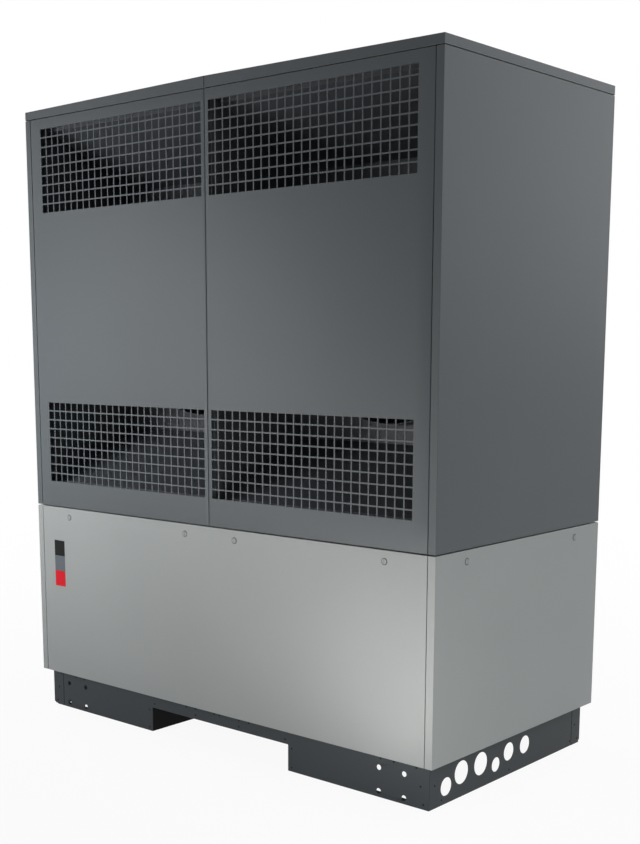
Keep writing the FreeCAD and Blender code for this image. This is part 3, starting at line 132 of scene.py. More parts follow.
@dataclass
class Network:
    """The nodes of a material or of the world while they are built."""

    owner: bpy.types.Material | bpy.types.World

    def __post_init__(self) -> None:
        """Start without nodes."""
        self.owner.use_nodes = True
        self.tree = self.owner.node_tree
        self.tree.nodes.clear()

    def add(self, kind: str, *sources: Socket, out: str | int = 0, **settings: object) -> Socket | None:
        """Add a node.

        Args:
            kind: The node's type, without the word that all of them start with.
            sources: What its first sockets take, in order.
            out: The output that is wanted.
            settings: Attributes, or values or sources of sockets with _ for a blank.

        Returns:
            The output, if the node has any.
        """
        node = self.tree.nodes.new(f"ShaderNode{kind}")
        for source, socket in zip(sources, node.inputs):
            self.tree.links.new(source, socket)
        for name, value in settings.items():
            if hasattr(node, name):
                setattr(node, name, value)
            elif isinstance(value, Socket):
                self.tree.links.new(value, node.inputs[name.replace("_", " ")])
            else:
                node.inputs[name.replace("_", " ")].default_value = value
        return node.outputs[out] if node.outputs else None

    def mapped(self, scale: float | tuple[float, float, float]) -> Socket:
        """Object coordinates, with the repeats in a metre along all axes or along each."""
        scales = scale if isinstance(scale, tuple) else (scale,) * 3
        return self.add("Mapping", self.add("TexCoord", out="Object"), Scale=scales)

    def noise(self, scale: float | tuple[float, float, float], detail: float = 3.0) -> Socket:
        """A noise pattern with some finer layers on mapped coordinates."""
        return self.add("TexNoise", self.mapped(scale), Scale=1.0, Detail=detail)

    def ramp(self, pattern: Socket, *stops: tuple[float, Colour]) -> Socket:
        """A colour ramp on a pattern.

        Args:
            pattern: The pattern.
            stops: Places and colours.

        Returns:
            The colour.
        """
        colour = self.add("ValToRGB", pattern)
        elements = colour.node.color_ramp.elements
        while len(elements) < len(stops):
            elements.new(0.5)
        for element, stop in zip(elements, stops):
            element.position, element.color = stop
        return colour

    def product(self, first: Socket, second: Socket) -> Socket:
        """Two colours multiplied."""
        return self.add("MixRGB", blend_type="MULTIPLY", Fac=1.0, Color1=first, Color2=second)

    def spread(self, pattern: Socket, low: float, high: float) -> Socket:
        """A value that a pattern drives between two limits."""
        return self.add("MapRange", pattern, From_Min=0.3, From_Max=0.7, To_Min=low, To_Max=high)

    def bump(self, pattern: Socket, depth: float, **below: Socket) -> Socket:
        """A surface raised by a pattern with a depth in metres, on the Normal below it if given."""
        return self.add("Bump", Height=pattern, Strength=1.0, Distance=depth, **below)

    def surface(self, **settings: object) -> None:
        """Add the shader with its settings and the material's output."""
        self.add("OutputMaterial", self.add("BsdfPrincipled", **settings))

    def seen(self) -> Socket:
        """One where the camera, a gloss or a glass looks, else zero."""
        camera, gloss, glass = (self.add("LightPath", out=f"Is {ray} Ray")
                                for ray in ("Camera", "Glossy", "Transmission"))
        both = self.add("Math", camera, gloss, operation="MAXIMUM")
        return self.add("Math", both, glass, operation="MAXIMUM")


# Finishes


@dataclass(frozen=True)
class Finish:
    """A finish with its name and its linear colour."""

    name: str
    colour: Colour

    def build(self) -> bpy.types.Material:
        """Build the node material.

        Returns:
            The material.
        """
        material = bpy.data.materials.new(self.name)
        self.paint(Network(material))
        return material

    def tinted(self, net: Network, pattern: Socket, *stops: tuple[float, float]) -> Socket:
        """The colour with its shares at some places of a pattern."""
        return net.ramp(pattern, *((place, shifted(self.colour, share)) for place, share in stops))


@dataclass(frozen=True)
class PowderCoat(Finish):
    """Baked powder paint: fine grain, a slight orange peel and a faint cloudiness."""

    roughness: float = 0.42
    grain: float = 900.0
    depth: float = 0.00006
    cloud: float = 0.03
    specular: float = 0.4

    def paint(self, net: Network) -> None:
        """Lay the paint.

        Args:
            net: The material's network.
        """
        fleck = net.noise(self.grain, 2.0)
        flecks = net.ramp(fleck, (0.3, (0.93, 0.93, 0.93, 1)), (0.7, (1, 1, 1, 1)))
        tint = self.tinted(net, net.noise(1.3, 2.0), (0.35, 1 - self.cloud), (0.65, 1 + self.cloud))
        peel = net.bump(net.noise(160.0, 1.0), self.depth * 0.6)
        net.surface(Base_Color=net.product(tint, flecks), Specular_IOR_Level=self.specular,
                    Roughness=net.spread(fleck, self.roughness - 0.04, self.roughness + 0.05),
                    Normal=net.bump(fleck, self.depth, Normal=peel))


@dataclass(frozen=True)
class Zinc(Finish):
    """Hot-dip zinc on steel sheet, with its spangle and a dull film."""

    spangle: float = 90.0

    def paint(self, net: Network) -> None:
        """Lay the zinc.

        Args:
            net: The material's network.
        """
        cells = net.add("TexVoronoi", net.mapped(self.spangle), out="Color", Scale=1.0)
        net.surface(Base_Color=self.tinted(net, cells, (0.0, 0.80), (0.5, 1.0), (1.0, 1.15)), Metallic=0.85,
                    Roughness=net.spread(cells, 0.38, 0.55), Normal=net.bump(net.noise(700.0), 0.00003))


@dataclass(frozen=True)
class RolledMetal(Finish):
    """Plain rolled or drawn metal with fine lines along one axis."""

    lines: tuple[float, float, float] = (20.0, 20.0, 900.0)
    roughness: float = 0.3
    stain: float = 0.12

    def paint(self, net: Network) -> None:
        """Lay the metal.

        Args:
            net: The material's network.
        """
        lines = net.noise(self.lines)
        net.surface(Base_Color=self.tinted(net, net.noise(9.0, 4.0), (0.3, 1 - self.stain), (0.7, 1.0)),
                    Metallic=0.95, Normal=net.bump(lines, 0.00002),
                    Roughness=net.spread(lines, self.roughness - 0.06, self.roughness + 0.1))


@dataclass(frozen=True)
class FinPack(Finish):
    """Thin aluminium fins side by side, with the gaps between them darkened as painted shade."""

    pitch: float = 0.0042

    def paint(self, net: Network) -> None:
        """Lay the fins.

        Args:
            net: The material's network.
        """
        fins = net.add("TexWave", net.mapped((0.314 / self.pitch, 1.0, 1.0)), out="Fac", wave_type="BANDS",
                       bands_direction="X", Scale=1.0)
        # Painted shade between the fins: the bands of the gaps fall to a tenth of the colour.
        tint = self.tinted(net, fins, (0.15, 0.10), (0.6, 1.0))
        streaks = net.noise((120.0, 60.0, 4.0), 2.0)
        dirt = net.ramp(streaks, (0.3, (0.75, 0.75, 0.73, 1)), (0.7, (1, 1, 1, 1)))
        net.surface(Base_Color=net.product(tint, dirt), Metallic=0.8, Roughness=0.4,
                    Normal=net.bump(fins, 0.0012))


@dataclass(frozen=True)
class Moulded(Finish):
    """Moulded plastic, rubber or foam: a matt skin with a pitted or pebbled surface."""

    roughness: float = 0.6
    pebble: float = 600.0
    depth: float = 0.00008

    def paint(self, net: Network) -> None:
        """Lay the skin.

        Args:
            net: The material's network.
        """
        patches = net.noise(14.0, 4.0)
        net.surface(Base_Color=self.tinted(net, patches, (0.3, 0.85), (0.7, 1.12)),
                    Roughness=net.spread(patches, self.roughness - 0.05, self.roughness + 0.08),
                    Normal=net.bump(net.noise(self.pebble, 2.0), self.depth))


RECIPES = {
    "upper_casing": PowderCoat("slate_coat", linear(86, 91, 94), 0.44, 700.0, 0.00010, 0.03, 0.25),
    "lower_casing": PowderCoat("pearl_grey_coat", linear(157, 160, 159), 0.40, 900.0, 0.00004),
    "plinth": PowderCoat("plinth_coat", linear(66, 70, 73), 0.42, 800.0, 0.00006, 0.03, 0.12),
    "lock": PowderCoat("lock_coat", linear(157, 160, 159), 0.36, 900.0, 0.00003),
    "galvanised_steel": Zinc("zinc_sheet", linear(176, 180, 184)),
    "dark_sheet": PowderCoat("duct_coat", linear(82, 85, 90), 0.5, 700.0, 0.00006),
    "motor_paint": PowderCoat("motor_paint", linear(58, 60, 63), 0.4, 500.0, 0.00008),
    "fan_plastic": Moulded("fan_plastic", linear(44, 45, 47), 0.5),
    "foam": Moulded("acoustic_foam", linear(62, 62, 64), 0.9, 260.0, 0.0012),
    "coil_aluminium": FinPack("fin_pack", linear(196, 200, 204)),
    "fin_edge": RolledMetal("fin_edge", linear(186, 190, 194), (30.0, 30.0, 300.0), 0.38),
    "tray_aluminium": RolledMetal("tray_metal", linear(196, 199, 202), (900.0, 20.0, 20.0)),
    "compressor_paint": PowderCoat("shell_paint", linear(46, 47, 50), 0.33, 300.0, 0.00008),
    "mount_rubber": Moulded("mount_rubber", linear(38, 38, 38), 0.75),
    "brazed_steel": RolledMetal("stainless_cover", linear(194, 190, 182), (20.0, 20.0, 900.0), 0.26),
    "valve_brass": RolledMetal("valve_brass", linear(206, 172, 104), (900.0, 30.0, 30.0), 0.26),
    "copper": RolledMetal("tube_copper", linear(180, 110, 80), (60.0, 60.0, 60.0), 0.34, 0.25),
    "box_paint": PowderCoat("cabinet_coat", linear(190, 192, 192), 0.42, 800.0, 0.00005),
    "pipe_steel": RolledMetal("pipe_steel", linear(188, 190, 192), (30.0, 30.0, 30.0), 0.34),
    # Near-black coat that paints shade: the shadow in the fork tunnel and in the roof and plinth seams, and
    # the dark rivet heads.
    "painted_shade_coat": PowderCoat("painted_shade_coat", linear(18, 19, 21), 0.6, 500.0, 0.00006, 0.03, 0.1),
    "red_foil": PowderCoat("red_foil", linear(216, 14, 34), 0.35, 400.0, 0.00001, 0.02, 0.15),
    "grey_foil": PowderCoat("grey_foil", linear(98, 104, 110), 0.35, 400.0, 0.00001, 0.02, 0.15),
    "black_foil": PowderCoat("black_foil", linear(4, 4, 5), 0.35, 400.0, 0.00001, 0.02, 0.15),
}
MATERIALS = {finish: recipe.build() for finish, recipe in RECIPES.items()}


def dress(piece: bpy.types.Object, finish: str) -> None:
    """Give a piece a finish."""
    piece.data.materials.clear()
    piece.data.materials.append(MATERIALS[finish])


# Shapes


@dataclass
class Shape:
    """A mesh in millimetres while it is modelled with bmesh operators."""

    def __post_init__(self) -> None:
        """Start with an empty mesh."""
        self.bm = bmesh.new()

    def rounded(self, edges: Edges, radius: float, rounds: int, clamp: bool = True) -> None:
        """Round some edges with a radius and a number of segments."""
        bmesh.ops.bevel(self.bm, geom=edges, offset=radius, segments=rounds, affect="EDGES", profile=0.5,
                        material=-1, clamp_overlap=clamp)

    def block(self, first: Spot, second: Spot, edge: float = 0.0, rounds: int = 2) -> None:
        """Add a box with softened edges.

        Args:
            first: A corner.
            second: The corner across the box.
            edge: The radius of the edges.
            rounds: The segments of each edge.
        """
        first, second = Vector(first), Vector(second)
        size = [abs(length) for length in second - first]
        place = Matrix.Translation((first + second) / 2) @ Matrix.Diagonal((*size, 1))
        made = bmesh.ops.create_cube(self.bm, size=1.0, matrix=place)
        if edge:
            self.rounded(around(made["verts"], "link_edges"), edge, rounds)

    def turned(self, profile: Profile, centre: Spot, axis: Axis, steps: int = 48) -> None:
        """Add a closed shape that is turned about an axis.

        Args:
            profile: Points of the outline as radius and place along the axis.
            centre: The point of the axis where the outline's places start.
            axis: The axis.
            steps: The segments of a full turn.
        """
        part = Shape()
        aside = Axis.Y if axis is Axis.X else Axis.X
        verts = [part.bm.verts.new(Vector(centre) + aside.value * radius + axis.value * along)
                 for radius, along in profile]
        edges = [part.bm.edges.new(pair) for pair in zip(verts, verts[1:])]
        bmesh.ops.spin(part.bm, geom=verts + edges, cent=centre, axis=axis.value, angle=2 * math.pi,
                       steps=steps, use_merge=True)
        part.clean()
        self.take(part)

    def prism(self, centre: Spot, axis: Axis, radius: float, length: float, sides: int,
              edge: float = 0.0) -> None:
        """Add a straight bar with flat sides, or a disc.

        Args:
            centre: The middle of its first end.
            axis: The direction that it points to.
            radius: The radius of its corners.
            length: The length, negative to point the other way.
            sides: The number of sides.
            edge: The radius of the end's edges.
        """
        turn = axis.value.to_track_quat("Z", "Y").to_matrix().to_4x4()
        place = Matrix.Translation(Vector(centre) + axis.value * length / 2) @ turn
        made = bmesh.ops.create_cone(self.bm, cap_ends=True, segments=sides, radius1=radius, radius2=radius,
                                     depth=abs(length), matrix=place)
        if edge:
            caps = [face for face in around(made["verts"], "link_faces") if len(face.verts) == sides]
            self.rounded(around(caps, "edges"), edge, 2)

    def clean(self) -> None:
        """Merge double points and let all faces point outwards."""
        bmesh.ops.remove_doubles(self.bm, verts=self.bm.verts[:], dist=0.02)
        bmesh.ops.recalc_face_normals(self.bm, faces=self.bm.faces[:])
        if self.bm.calc_volume(signed=True) < 0:
            bmesh.ops.reverse_faces(self.bm, faces=self.bm.faces[:])

    def rims(self) -> Edges:
        """The open edges."""
        return [edge for edge in self.bm.edges if edge.is_boundary]

    def cut(self, place: float, axis: Axis) -> None:
        """Cut all faces along the plane that is square to an axis at a place."""
        bmesh.ops.bisect_plane(self.bm, geom=self.bm.verts[:] + self.bm.edges[:] + self.bm.faces[:],
                               dist=0.001, plane_co=axis.value * place, plane_no=axis.value)

    def drawn(self, edges: Edges, along: float, grow: float = 1.0) -> list[bmesh.types.BMVert]:
        """Extrude open edges along Y.

        Args:
            edges: The edges.
            along: How far.
            grow: How much wider about the Y axis the new edges are.

        Returns:
            The new vertices.
        """
        made = bmesh.ops.extrude_edge_only(self.bm, edges=edges)["geom"]
        verts = [one for one in made if isinstance(one, bmesh.types.BMVert)]
        bmesh.ops.translate(self.bm, verts=verts, vec=(0, along, 0))
        bmesh.ops.scale(self.bm, verts=verts, vec=(grow, 1, grow))
        return verts

    def wall(self, thickness: float) -> None:
        """Give an open sheet that looks to the front a wall behind its face.

        Args:
            thickness: The thickness of the wall.
        """
        bmesh.ops.recalc_face_normals(self.bm, faces=self.bm.faces[:])
        if max(self.bm.faces, key=lambda face: abs(face.normal.y)).normal.y > 0:
            bmesh.ops.reverse_faces(self.bm, faces=self.bm.faces[:])
        bmesh.ops.solidify(self.bm, geom=self.bm.faces[:], thickness=thickness)

    def turn(self, matrix: Matrix) -> None:
        """Move or turn the whole shape."""
        bmesh.ops.transform(self.bm, matrix=matrix, verts=self.bm.verts[:])

    def mesh(self, name: str) -> bpy.types.Mesh:
        """Make the finished mesh, after which the shape is gone.

        Args:
            name: The mesh's name.

        Returns:
            The mesh.
        """
        mesh = bpy.data.meshes.new(name)
        self.bm.to_mesh(mesh)
        self.bm.free()
        return mesh

    def take(self, other: "Shape") -> None:
        """Add another shape's mesh to this one.

        Args:
            other: The shape, which is gone afterwards.
        """
        mesh = other.mesh("part_form")
        self.bm.from_mesh(mesh)
        bpy.data.meshes.remove(mesh)

    def repeat(self, make: Callable[[], "Shape"], count: int, centre: Spot = (0, 0, 0)) -> None:
        """Add copies of a part in a circle about the Y direction.

        Args:
            make: Makes one part about the circle's centre.
            count: The number of copies.
            centre: The place of the circle's centre.
        """
        for place in range(count):
            part = make()
            part.turn(Matrix.Translation(centre) @ Matrix.Rotation(2 * math.pi / count * place, 4, "Y"))
            self.take(part)

    def piece(self, name: str, slot: str, *replaced: str, body: str = "cabinet", sharp: float = 35.0,
              finish: str = "") -> None:
        """Finish the shape as a piece of the unit.

        Args:
            name: The piece's name.
            slot: The record's material slot.
            replaced: The CAD nodes that it stands for.
            body: The CAD body that it rides on.
            sharp: Edges sharper than this angle in degrees stay hard.
            finish: Another finish than the slot's.
        """
        self.turn(Matrix.Scale(MM, 4))
        mesh = self.mesh(name)
        mesh.shade_smooth()
        mesh.set_sharp_from_angle(angle=math.radians(sharp))
        placed(mesh, replaced, body, finish or slot)


def placed(mesh: bpy.types.Mesh, replaced: tuple[str, ...], body: str, finish: str) -> None:
    """Put a finished mesh into the scene on its body.

    Args:
        mesh: The mesh, with its place in it and the piece's name.
        replaced: The CAD nodes that it stands for.
        body: The CAD body that it rides on.
        finish: Its finish.
    """
    thing = shown(mesh.name, mesh)
    dress(thing, finish)
    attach(thing, body)
    if replaced:
        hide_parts(*replaced)
    LOG.info("%s rides on %s with %d faces", mesh.name, body, len(mesh.polygons))


def tubes(name: str, slot: str, runs: list[tuple[list[Spot], float, float]], *replaced: str) -> None:
    """Bent tubes as one piece.

    Args:
        name: The piece's name.
        slot: The record's material slot.
        runs: For each tube its corners, its radius and how far before a corner its bend starts.
        replaced: The CAD nodes that it stands for.
    """
    curve = bpy.data.curves.new(f"{name}_route", "CURVE")
    tune(curve, dimensions="3D", bevel_depth=1.0, bevel_resolution=4, use_fill_caps=True, resolution_u=8)
    for places, radius, bend in runs:
        corners = [Vector(place) * MM for place in places]
        points = [corners[0]]
        for before, corner, after in zip(corners, corners[1:], corners[2:]):
            near, far = (corner + (other - corner).normalized() * bend * MM for other in (before, after))
            points += [near, corner, far]
        points.append(corners[-1])
        spline = curve.splines.new("NURBS")
        spline.points.add(len(points) - 1)
        for point, place in zip(spline.points, points):
            tune(point, co=(*place, 1.0), radius=radius * MM)
        tune(spline, order_u=3, use_endpoint_u=True)
    holder = shown(f"{name}_holder", curve)
    bpy.context.view_layer.update()
    mesh = bpy.data.meshes.new_from_object(holder.evaluated_get(bpy.context.evaluated_depsgraph_get()))
    bpy.data.objects.remove(holder)
    mesh.name = name
    placed(mesh, replaced, "cabinet", slot)


def soften(edge: float, *nodes: str, rounds: int = 2) -> None:
    """Round the sharp edges of CAD nodes for the picture, without a change of their meshes.

    Args:
        edge: The radius.
        nodes: The nodes.
        rounds: The segments of each edge.
    """
    for node in nodes:
        thing = frame["nodes"][node]
        thing.modifiers.new("weld", "WELD").merge_threshold = 0.02 * MM
        tune(thing.modifiers.new("edge", "BEVEL"), width=edge * MM, segments=rounds, limit_method="ANGLE",
             angle_limit=math.radians(50), harden_normals=True)


@dataclass(frozen=True)
class ShadowStrip:
    """The cross-section of a near-black strip in a seam, which paints the shadow of the gap."""

    half: float = 1.5
    proud: float = 0.2
    deep: float = 2.0


SHADOW_STRIP = ShadowStrip()


# Upper casing


@dataclass
class PunchedDoor:
    """A folded door with fields of square holes, punched through one sheet."""

    node: str
    name: str
    side: Side
    hole: float = 29
    bar: float = 5
    columns: int = 25
    rows: int = 9
    seam: float = 1.15
    margin: float = 16
    bottom: float = 96.5
    top: float = 37.5
    skin: float = 1.5
    fold: float = 1.8
    flange: float = 27.7

    def __post_init__(self) -> None:
        """Find the door's box as seen from its own side."""
        self.low, self.high = self.side.box(self.node)

    def levels(self) -> list[tuple[float, float]]:
        """The lower and upper edges of the rows of holes, in a lower and an upper field."""
        pitch = self.hole + self.bar
        fields = (self.low.z + self.bottom, self.high.z - self.top - self.rows * pitch + self.bar)
        return [gap for field in fields for gap in gaps(field, pitch, self.hole, self.rows)]

    def build(self) -> None:
        """Cut, punch and fold the sheet in place of the CAD node."""
        low, high = self.low, self.high
        reach = max(high.x, -low.x)
        hand = 1 if high.x > -low.x else -1
        row = gaps(self.seam + self.margin, self.hole + self.bar, self.hole, self.columns)
        columns = [sorted((hand * near, hand * far)) for near, far in row]
        levels = self.levels()
        shape = Shape()
        bm = shape.bm
        middle = Matrix.Translation((hand * (self.seam + reach) / 2, low.y, (low.z + high.z) / 2))
        spread = Matrix.Diagonal((reach - self.seam, high.z - low.z, 1, 1))
        bmesh.ops.create_grid(bm, x_segments=1, y_segments=1, size=0.5, matrix=middle @ UPRIGHT @ spread)
        for axis, openings in ((Axis.X, columns), (Axis.Z, levels)):
            for place in (edge for pair in openings for edge in pair):
                shape.cut(place, axis)
        rims = shape.rims()
        doomed = [face for face in bm.faces if self.punched(face.calc_center_median(), columns, levels)]
        bmesh.ops.delete(bm, geom=doomed, context="FACES")
        shape.drawn(rims, self.flange)
        folds = [edge for edge in bm.edges if len(edge.link_faces) == 2
                 and edge.calc_face_angle() > math.radians(60)]
        shape.rounded(folds, self.fold, 3, False)
        shape.wall(self.skin)
        shape.turn(self.side.turn())
        shape.piece(self.name, "upper_casing", self.node)

    @staticmethod
    def punched(centre: Vector, columns: list[list[float]], levels: list[tuple[float, float]]) -> bool:
        """Whether a face's centre lies in a hole."""
        across = any(near < centre.x < far for near, far in columns)
        return across and any(near < centre.z < far for near, far in levels)


@dataclass
class IntakeDoor(PunchedDoor):
    """A rear door with one tall field of larger holes in front of the coil."""

    hole: float = 63
    columns: int = 13
    rows: int = 16
    edge: float = 60

    def levels(self) -> list[tuple[float, float]]:
        """The lower and upper edges of the rows of the only field."""
        pitch = (self.high.z - self.low.z - 2 * self.edge + self.bar) / self.rows
        return gaps(self.low.z + self.edge, pitch, pitch - self.bar, self.rows)


@dataclass
class UpperCasing:
    """The dark doors, side panels and roof."""

    edge: float = 1.2

    def build(self) -> None:
        """Build and dress the upper casing."""
        kinds = ((PunchedDoor, "front_door", Side.FRONT), (IntakeDoor, "rear_panel", Side.REAR))
        for kind, form, side in kinds:
            for hand in ("right", "left"):
                kind(f"upper_{form}_{hand}", f"{form}_{hand}", side).build()
        soften(self.edge, "upper_right_panel", "upper_left_panel", "roof_left", "roof_right")
        self.seam_shadow()

    @staticmethod
    def seam_shadow() -> None:
        """A near-black strip in the seam between the two roof trays: painted shadow of the gap."""
        low, high = box("roof_left")
        shape = Shape()
        for face in (low.y, high.y - SHADOW_STRIP.deep):
            shape.block((-SHADOW_STRIP.half, face - SHADOW_STRIP.proud, low.z + 1),
                        (SHADOW_STRIP.half, face + SHADOW_STRIP.deep + SHADOW_STRIP.proud, high.z - 1))
        shape.block((-SHADOW_STRIP.half, low.y + 1, high.z - SHADOW_STRIP.deep), (SHADOW_STRIP.half, high.y - 1, high.z - 0.1))
        # Dressed in the near-black coat that paints the seam's shadow.
        shape.piece("roof_seam_shadow", "upper_casing", finish="painted_shade_coat")


# Lower casing


@dataclass
class Lock:
    """A quarter-turn lock with a round slotted head, a square stud and a rubber ring."""

    node: str
    radius: float = 10
    proud: float = 2.5
    slot: float = 2.2
    depth: float = 1.6
    stud: float = 4
    rim: float = 1.7
    sunk: float = 0.2
    ring_wide: float = 1.5
    ring_thick: float = 0.5

    def __post_init__(self) -> None:
        """Find the lock's side, the middle of its outer end and its length."""
        self.side = Side[self.node.split("_")[0].upper()]
        low, high = self.side.box(self.node)
        self.end = Vector(((low.x + high.x) / 2, low.y, (low.z + high.z) / 2))
        self.reach = high.y - low.y

    def ring(self, shape: Shape) -> None:
        """Add the rubber ring under the head, as seen from the front.

        Args:
            shape: The shape to add to.
        """
        inner = self.radius - 0.1
        outer = inner + self.ring_wide
        outline = [(inner, -self.ring_thick), (outer, -self.ring_thick), (outer, 0.0), (inner, 0.0)]
        shape.turned([*outline, outline[0]], self.end + Vector((0, self.proud, 0)), Axis.Y, 32)

    def build(self) -> None:
        """Build the lock in place of its CAD node."""
        shape = Shape()
        bm = shape.bm
        face = self.radius - self.rim
        bmesh.ops.create_circle(bm, cap_ends=True, segments=40, radius=face, matrix=UPRIGHT)
        for place in (-self.slot / 2, self.slot / 2):
            shape.cut(place, Axis.X)
        groove = [one for one in bm.faces if abs(one.calc_center_median().x) < self.slot / 4]
        shape.drawn(shape.rims(), self.proud, self.radius / face)
        made = bmesh.ops.extrude_face_region(bm, geom=groove)["geom"]
        deep = [one for one in made if isinstance(one, bmesh.types.BMVert)]
        bmesh.ops.translate(bm, verts=deep, vec=(0, self.depth, 0))
        bmesh.ops.delete(bm, geom=[one for one in groove if one.is_valid], context="FACES")
        bmesh.ops.holes_fill(bm, edges=shape.rims())
        shape.clean()
        half = self.stud * math.sqrt(0.5)
        shape.block((-half, self.proud - self.sunk, -half), (half, self.reach, half), 0.4)
        shape.turn(self.side.turn() @ Matrix.Translation(self.end))
        shape.piece(self.node + "_piece", "lock", self.node, body=self.node, sharp=30)


@dataclass
class LowerCasing:
    """The light panels of the machine compartment with their locks and the bare label."""

    edge: float = 1.0
    label: float = 60
    label_x: float = -854
    label_z: float = 496
    label_thick: float = 0.4
    label_sunk: float = 0.2

    def build(self) -> None:
        """Build and dress the lower casing."""
        for side in Side:
            panel = side.name.lower()
            soften(self.edge, f"lower_{panel}_panel")
            rings = Shape()
            for node in sorted(frame["nodes"]):
                if node.startswith(f"{panel}_lock_"):
                    lock = Lock(node)
                    lock.build()
                    lock.ring(rings)
            rings.turn(side.turn())
            rings.piece(f"{panel}_lock_rings", "mount_rubber", body=f"{panel}_panel")
        self.labels()

    def labels(self) -> None:
        """Three bare squares of foil, one above the other, on the front panel's left."""
        face = box("lower_front_panel")[0].y
        size = Vector((self.label, self.label_thick + self.label_sunk, self.label))
        for row, colour in enumerate(("red", "grey", "black")):
            low = Vector((self.label_x, face - self.label_thick, self.label_z + row * self.label))
            shape = Shape()
            shape.block(low, low + size, 0.1, 1)
            shape.piece(f"label_{colour}", "lower_casing", body="front_panel", finish=f"{colour}_foil")


# Plinth


@dataclass
class Plinth:
    """The dark folded rails, corner plates and rivets, and near-black strips where rails meet plates that
    paint the shadow of the gaps.
    """

    edge: float = 0.8
    rivet: float = 3.5
    plate: float = 60.6
    long_pattern: tuple[tuple[float, float], ...] = (
        (14, 130), (108, 130), (155, 130), (732, 130), (784, 130), (872, 130), (108, 108), (325, 108),
        (355, 81), (355, 14), (889, 73), (901, 16))
    short_pattern: tuple[tuple[float, float], ...] = (
        (-440, 75), (-402, 18), (-7, 17), (400, 18), (431, 73), (451, 18))

    def build(self) -> None:
        """Build and dress the plinth."""
        soften(self.edge, "base_front_rail", "base_rear_rail", "base_left_rail", "base_right_rail",
               "base_corner_plates", "fork_tunnel", rounds=1)
        # Painted shade: the fork tunnel is dressed near-black in place of the shadow inside it.
        dress(frame["nodes"]["fork_tunnel"], "painted_shade_coat")
        self.rivets()
        self.seam_shadows()

    def rivets(self) -> None:
        """Low rivets on all four rails: beside and above the fork notch and near the corners."""
        low, high = box("base_front_rail")
        shape = Shape()
        for sign in SIGNS:
            for across, level in self.long_pattern:
                for mirror in SIGNS:
                    spot = Vector((across * mirror, low.y * sign, level))
                    shape.turned(self.head(sign), spot, Axis.Y, 12)
            for along, level in self.short_pattern:
                spot = Vector((high.x * sign, along, level))
                shape.turned(self.head(-sign), spot, Axis.X, 12)
        # The rivet heads are dressed in the near-black painted-shade coat, which shows them as dark dots.
        shape.piece("plinth_rivets", "plinth", finish="painted_shade_coat")

    def head(self, sign: int) -> Profile:
        """The outline of a rivet's head, its round side against the axis where the sign is one."""
        radius = self.rivet
        outline = [(0.0, 1.2), (radius * 0.6, 1.0), (radius * 0.9, 0.5), (radius, 0.0), (0.0, 0.0)]
        return [(across, -height * sign) for across, height in outline]

    def seam_shadows(self) -> None:
        """Near-black strips where the rails meet the two corner plates: painted shadow of the gaps there."""
        low, high = box("base_corner_plates")
        shape = Shape()
        for sign in SIGNS:
            across = (low.x + self.plate) * sign
            shape.block((across - SHADOW_STRIP.half, (low.y - SHADOW_STRIP.proud) * sign, 1),
                        (across + SHADOW_STRIP.half, (low.y + SHADOW_STRIP.deep) * sign, high.z - 1))
            along = -(low.y + self.plate) * sign
            shape.block(((high.x + SHADOW_STRIP.proud) * sign, along - SHADOW_STRIP.half, 1),
                        ((high.x - SHADOW_STRIP.deep) * sign, along + SHADOW_STRIP.half, high.z - 1))
        # Dressed in the near-black coat that paints the shadow of the gaps.
        shape.piece("plinth_seam_shadows", "plinth", finish="painted_shade_coat")


# Fan sections


@dataclass
class Motors:
    """Outer-rotor motors with cooling ribs."""

    radius: float = 85
    core_share: float = 0.86
    ribs: int = 24
    rib_half: float = 1.5
    boss: float = 12
    chamfer: float = 6

    def __post_init__(self) -> None:
        """Find the motors' box and the sizes of their cores."""
        self.low, self.high = box("fan_motors")
        self.core = self.radius * self.core_share
        self.long = self.high.y - self.low.y

    def centre(self, sign: int) -> Vector:
        """The middle of the front end of the motor at the left, minus one, or at the right."""
        return Vector((sign * (self.high.x - self.radius), self.low.y, (self.low.z + self.high.z) / 2))

    def rib(self) -> Shape:
        """One cooling rib above the motor's axis."""
        rib = Shape()
        rib.block((-self.rib_half, 4, self.core - 4),
                  (self.rib_half, self.long - 3, self.radius - 0.6), 0.6, 1)
        return rib

    def build(self) -> None:
        """Build both motors in place of the CAD node."""
        core, long, boss, chamfer = self.core, self.long, self.boss, self.chamfer
        outline = [(0, 1), (boss, 1), (boss, 0), (core - chamfer, 0), (core, chamfer), (core, long - 4),
                   (core - 3, long), (0, long)]
        shape = Shape()
        for sign in SIGNS:
            shape.turned(outline, self.centre(sign), Axis.Y, 64)
            shape.repeat(self.rib, self.ribs, self.centre(sign))
        shape.piece("motor_casings", "motor_paint", "fan_motors")


